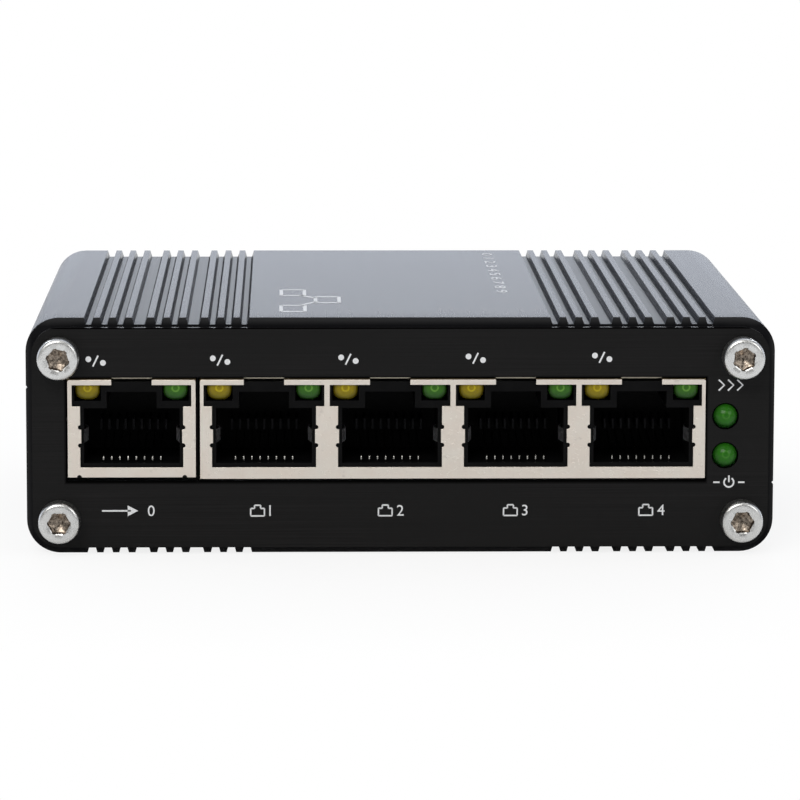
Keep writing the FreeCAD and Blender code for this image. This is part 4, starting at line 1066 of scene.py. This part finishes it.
def make_clip_screws():
    """Two countersunk screws with hexagon sockets, flush with the clip."""
    low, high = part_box("din_clip_screws")
    radius = (high.z - low.z) / 2
    length = high.y - low.y
    middle_z = (low.z + high.z) / 2
    mesh = bmesh.new()
    centres = []
    for x, turn in ((low.x + radius, 10), (high.x - radius, 41)):
        face = Vector((x, high.y, middle_z))
        centres.append(tuple(face))
        rings = [
            (-length, SHANK_RADIUS * 0.8),
            (-length + 0.3 * MM, SHANK_RADIUS),
            (-(radius - SHANK_RADIUS), SHANK_RADIUS),
            (-0.06 * MM, radius - 0.04 * MM),
            (0.0, radius - 0.10 * MM),
            (0.0, 1.22 * MM),
            (-0.1 * MM, hexagon_reach(CLIP_SOCKET_FLATS, turn)),
            (-0.75 * MM, hexagon_reach(CLIP_SOCKET_FLATS, turn)),
            (-0.8 * MM, 0.9 * MM),
            (-0.95 * MM, 0.05 * MM),
        ]
        add_turned(mesh, rings, 96, face, 1, math.radians(turn))
    add_piece("clip_cap_screws", mesh, screw_steel(centres), 32, ["din_clip_screws"])


make_clip_screws()


# ---------------------------------------------------------------------------
# Floor, light and camera
# ---------------------------------------------------------------------------

FLOOR_HALF = 4.0
FLOOR_GAP = 0.02 * MM
SHADOW_REACH = (0.05, 0.11)


def make_floor():
    """A pale floor that shows as white away from the object and keeps its soft shadow."""
    mesh = bmesh.new()
    corners = box_outline(-FLOOR_HALF, FLOOR_HALF, -FLOOR_HALF, FLOOR_HALF)
    mesh.faces.new([mesh.verts.new((x, y, CAD_BOX[0].z - FLOOR_GAP)) for x, y in corners])
    data = bpy.data.meshes.new("floor")
    mesh.to_mesh(data)
    mesh.free()
    floor = bpy.data.objects.new("floor", data)
    bpy.context.scene.collection.objects.link(floor)
    finish = Finish("PaleFloor", (0.86, 0.86, 0.86), 0.6, specular=0.1)
    grain = finish.noise((0.02,) * 3, 2.0)
    finish.feed("Base Color", finish.mix(grain, (0.85, 0.85, 0.85), (0.87, 0.87, 0.87)))
    light = finish.add("ShaderNodeEmission")
    light.inputs["Strength"].default_value = 1.0
    path = finish.add("ShaderNodeLightPath")
    far = finish.spread(finish.distance_from((0.0, 0.0, 0.0)), *SHADOW_REACH, 0.84, 1.0)
    share = finish.times(path.outputs["Is Camera Ray"], far)
    blend = finish.add("ShaderNodeMixShader")
    finish.links.new(share, blend.inputs["Fac"])
    finish.links.new(finish.shader.outputs["BSDF"], blend.inputs[1])
    finish.links.new(light.outputs["Emission"], blend.inputs[2])
    finish.links.new(blend.outputs["Shader"], finish.nodes["Material Output"].inputs["Surface"])
    data.materials.append(finish.material)


def make_world():
    """White to the camera; other rays see a cool white backdrop, dimmer above and in front."""
    world = bpy.data.worlds.new("Studio")
    bpy.context.scene.world = world
    world.use_nodes = True
    graph = Graph(world.node_tree)
    background = graph.nodes["Background"]
    direction = graph.add("ShaderNodeTexCoord").outputs["Generated"]
    behind = graph.spread(graph.axis(direction, "Y"), -0.3, 0.5)
    level = graph.spread(graph.axis(direction, "Z"), 0.05, 0.75, 1.0, 0.45)
    in_front = graph.compute("SUBTRACT", 1.0, behind)
    soft = graph.plus(graph.times(behind, level), graph.times(in_front, 0.28))
    path = graph.add("ShaderNodeLightPath")
    direct = graph.compute("MAXIMUM", path.outputs["Is Camera Ray"], path.outputs["Is Transmission Ray"])
    indirect = graph.compute("SUBTRACT", 1.0, direct)
    graph.links.new(graph.plus(direct, graph.times(indirect, soft)), background.inputs["Strength"])
    tint = graph.mix(graph.times(indirect, behind), (1.0, 1.0, 1.0), (0.96, 1.02, 1.14))
    graph.links.new(tint, background.inputs["Color"])


def add_lamp(name, place, target, size, power, tint=(1.0, 1.0, 1.0)):
    """A rectangular lamp of some watts that faces a target."""
    light = bpy.data.lights.new(name, "AREA")
    light.shape = "RECTANGLE"
    light.size, light.size_y = size
    light.energy = power
    light.color = tint
    lamp = bpy.data.objects.new(name, light)
    lamp.location = place
    away = Vector(place) - Vector(target)
    lamp.rotation_euler = away.to_track_quat("Z", "Y").to_euler()
    bpy.context.scene.collection.objects.link(lamp)


def make_camera():
    """The photograph's viewing angle: low, a little to the left, and from far off."""
    data = bpy.data.cameras.new("camera")
    data.lens = 203.3
    data.sensor_width = 36.0
    data.clip_start, data.clip_end = 0.01, 20.0
    camera = bpy.data.objects.new("camera", data)
    bpy.context.scene.collection.objects.link(camera)
    yaw, pitch, roll = math.radians(1.44), math.radians(8.09), math.radians(0.128)
    turn = Matrix.Rotation(-yaw, 4, "Z") @ Matrix.Rotation(math.pi / 2 - pitch, 4, "X")
    turn = turn @ Matrix.Rotation(roll, 4, "Z")
    camera.matrix_world = Matrix.Translation(Vector((-14.1, -595.2, 98.33)) * MM) @ turn
    bpy.context.scene.camera = camera


make_floor()
make_world()
add_lamp("key", (-0.35, -0.75, 0.75), (0.0, 0.0, 0.01), (0.7, 0.5), 6.0, (1.0, 0.985, 0.96))
add_lamp("fill", (0.6, -0.6, 0.45), (0.0, 0.0, 0.01), (0.5, 0.5), 1.6)
add_lamp("top", (0.0, 0.05, 0.9), (0.0, 0.0, 0.0), (0.9, 0.5), 1.2)
add_lamp("back", (0.0, 0.9, 0.48), (0.0, 0.0, 0.02), (1.0, 0.16), 4.0, (0.94, 0.97, 1.0))
make_camera()

view = bpy.context.scene.view_settings
view.view_transform = "Standard"
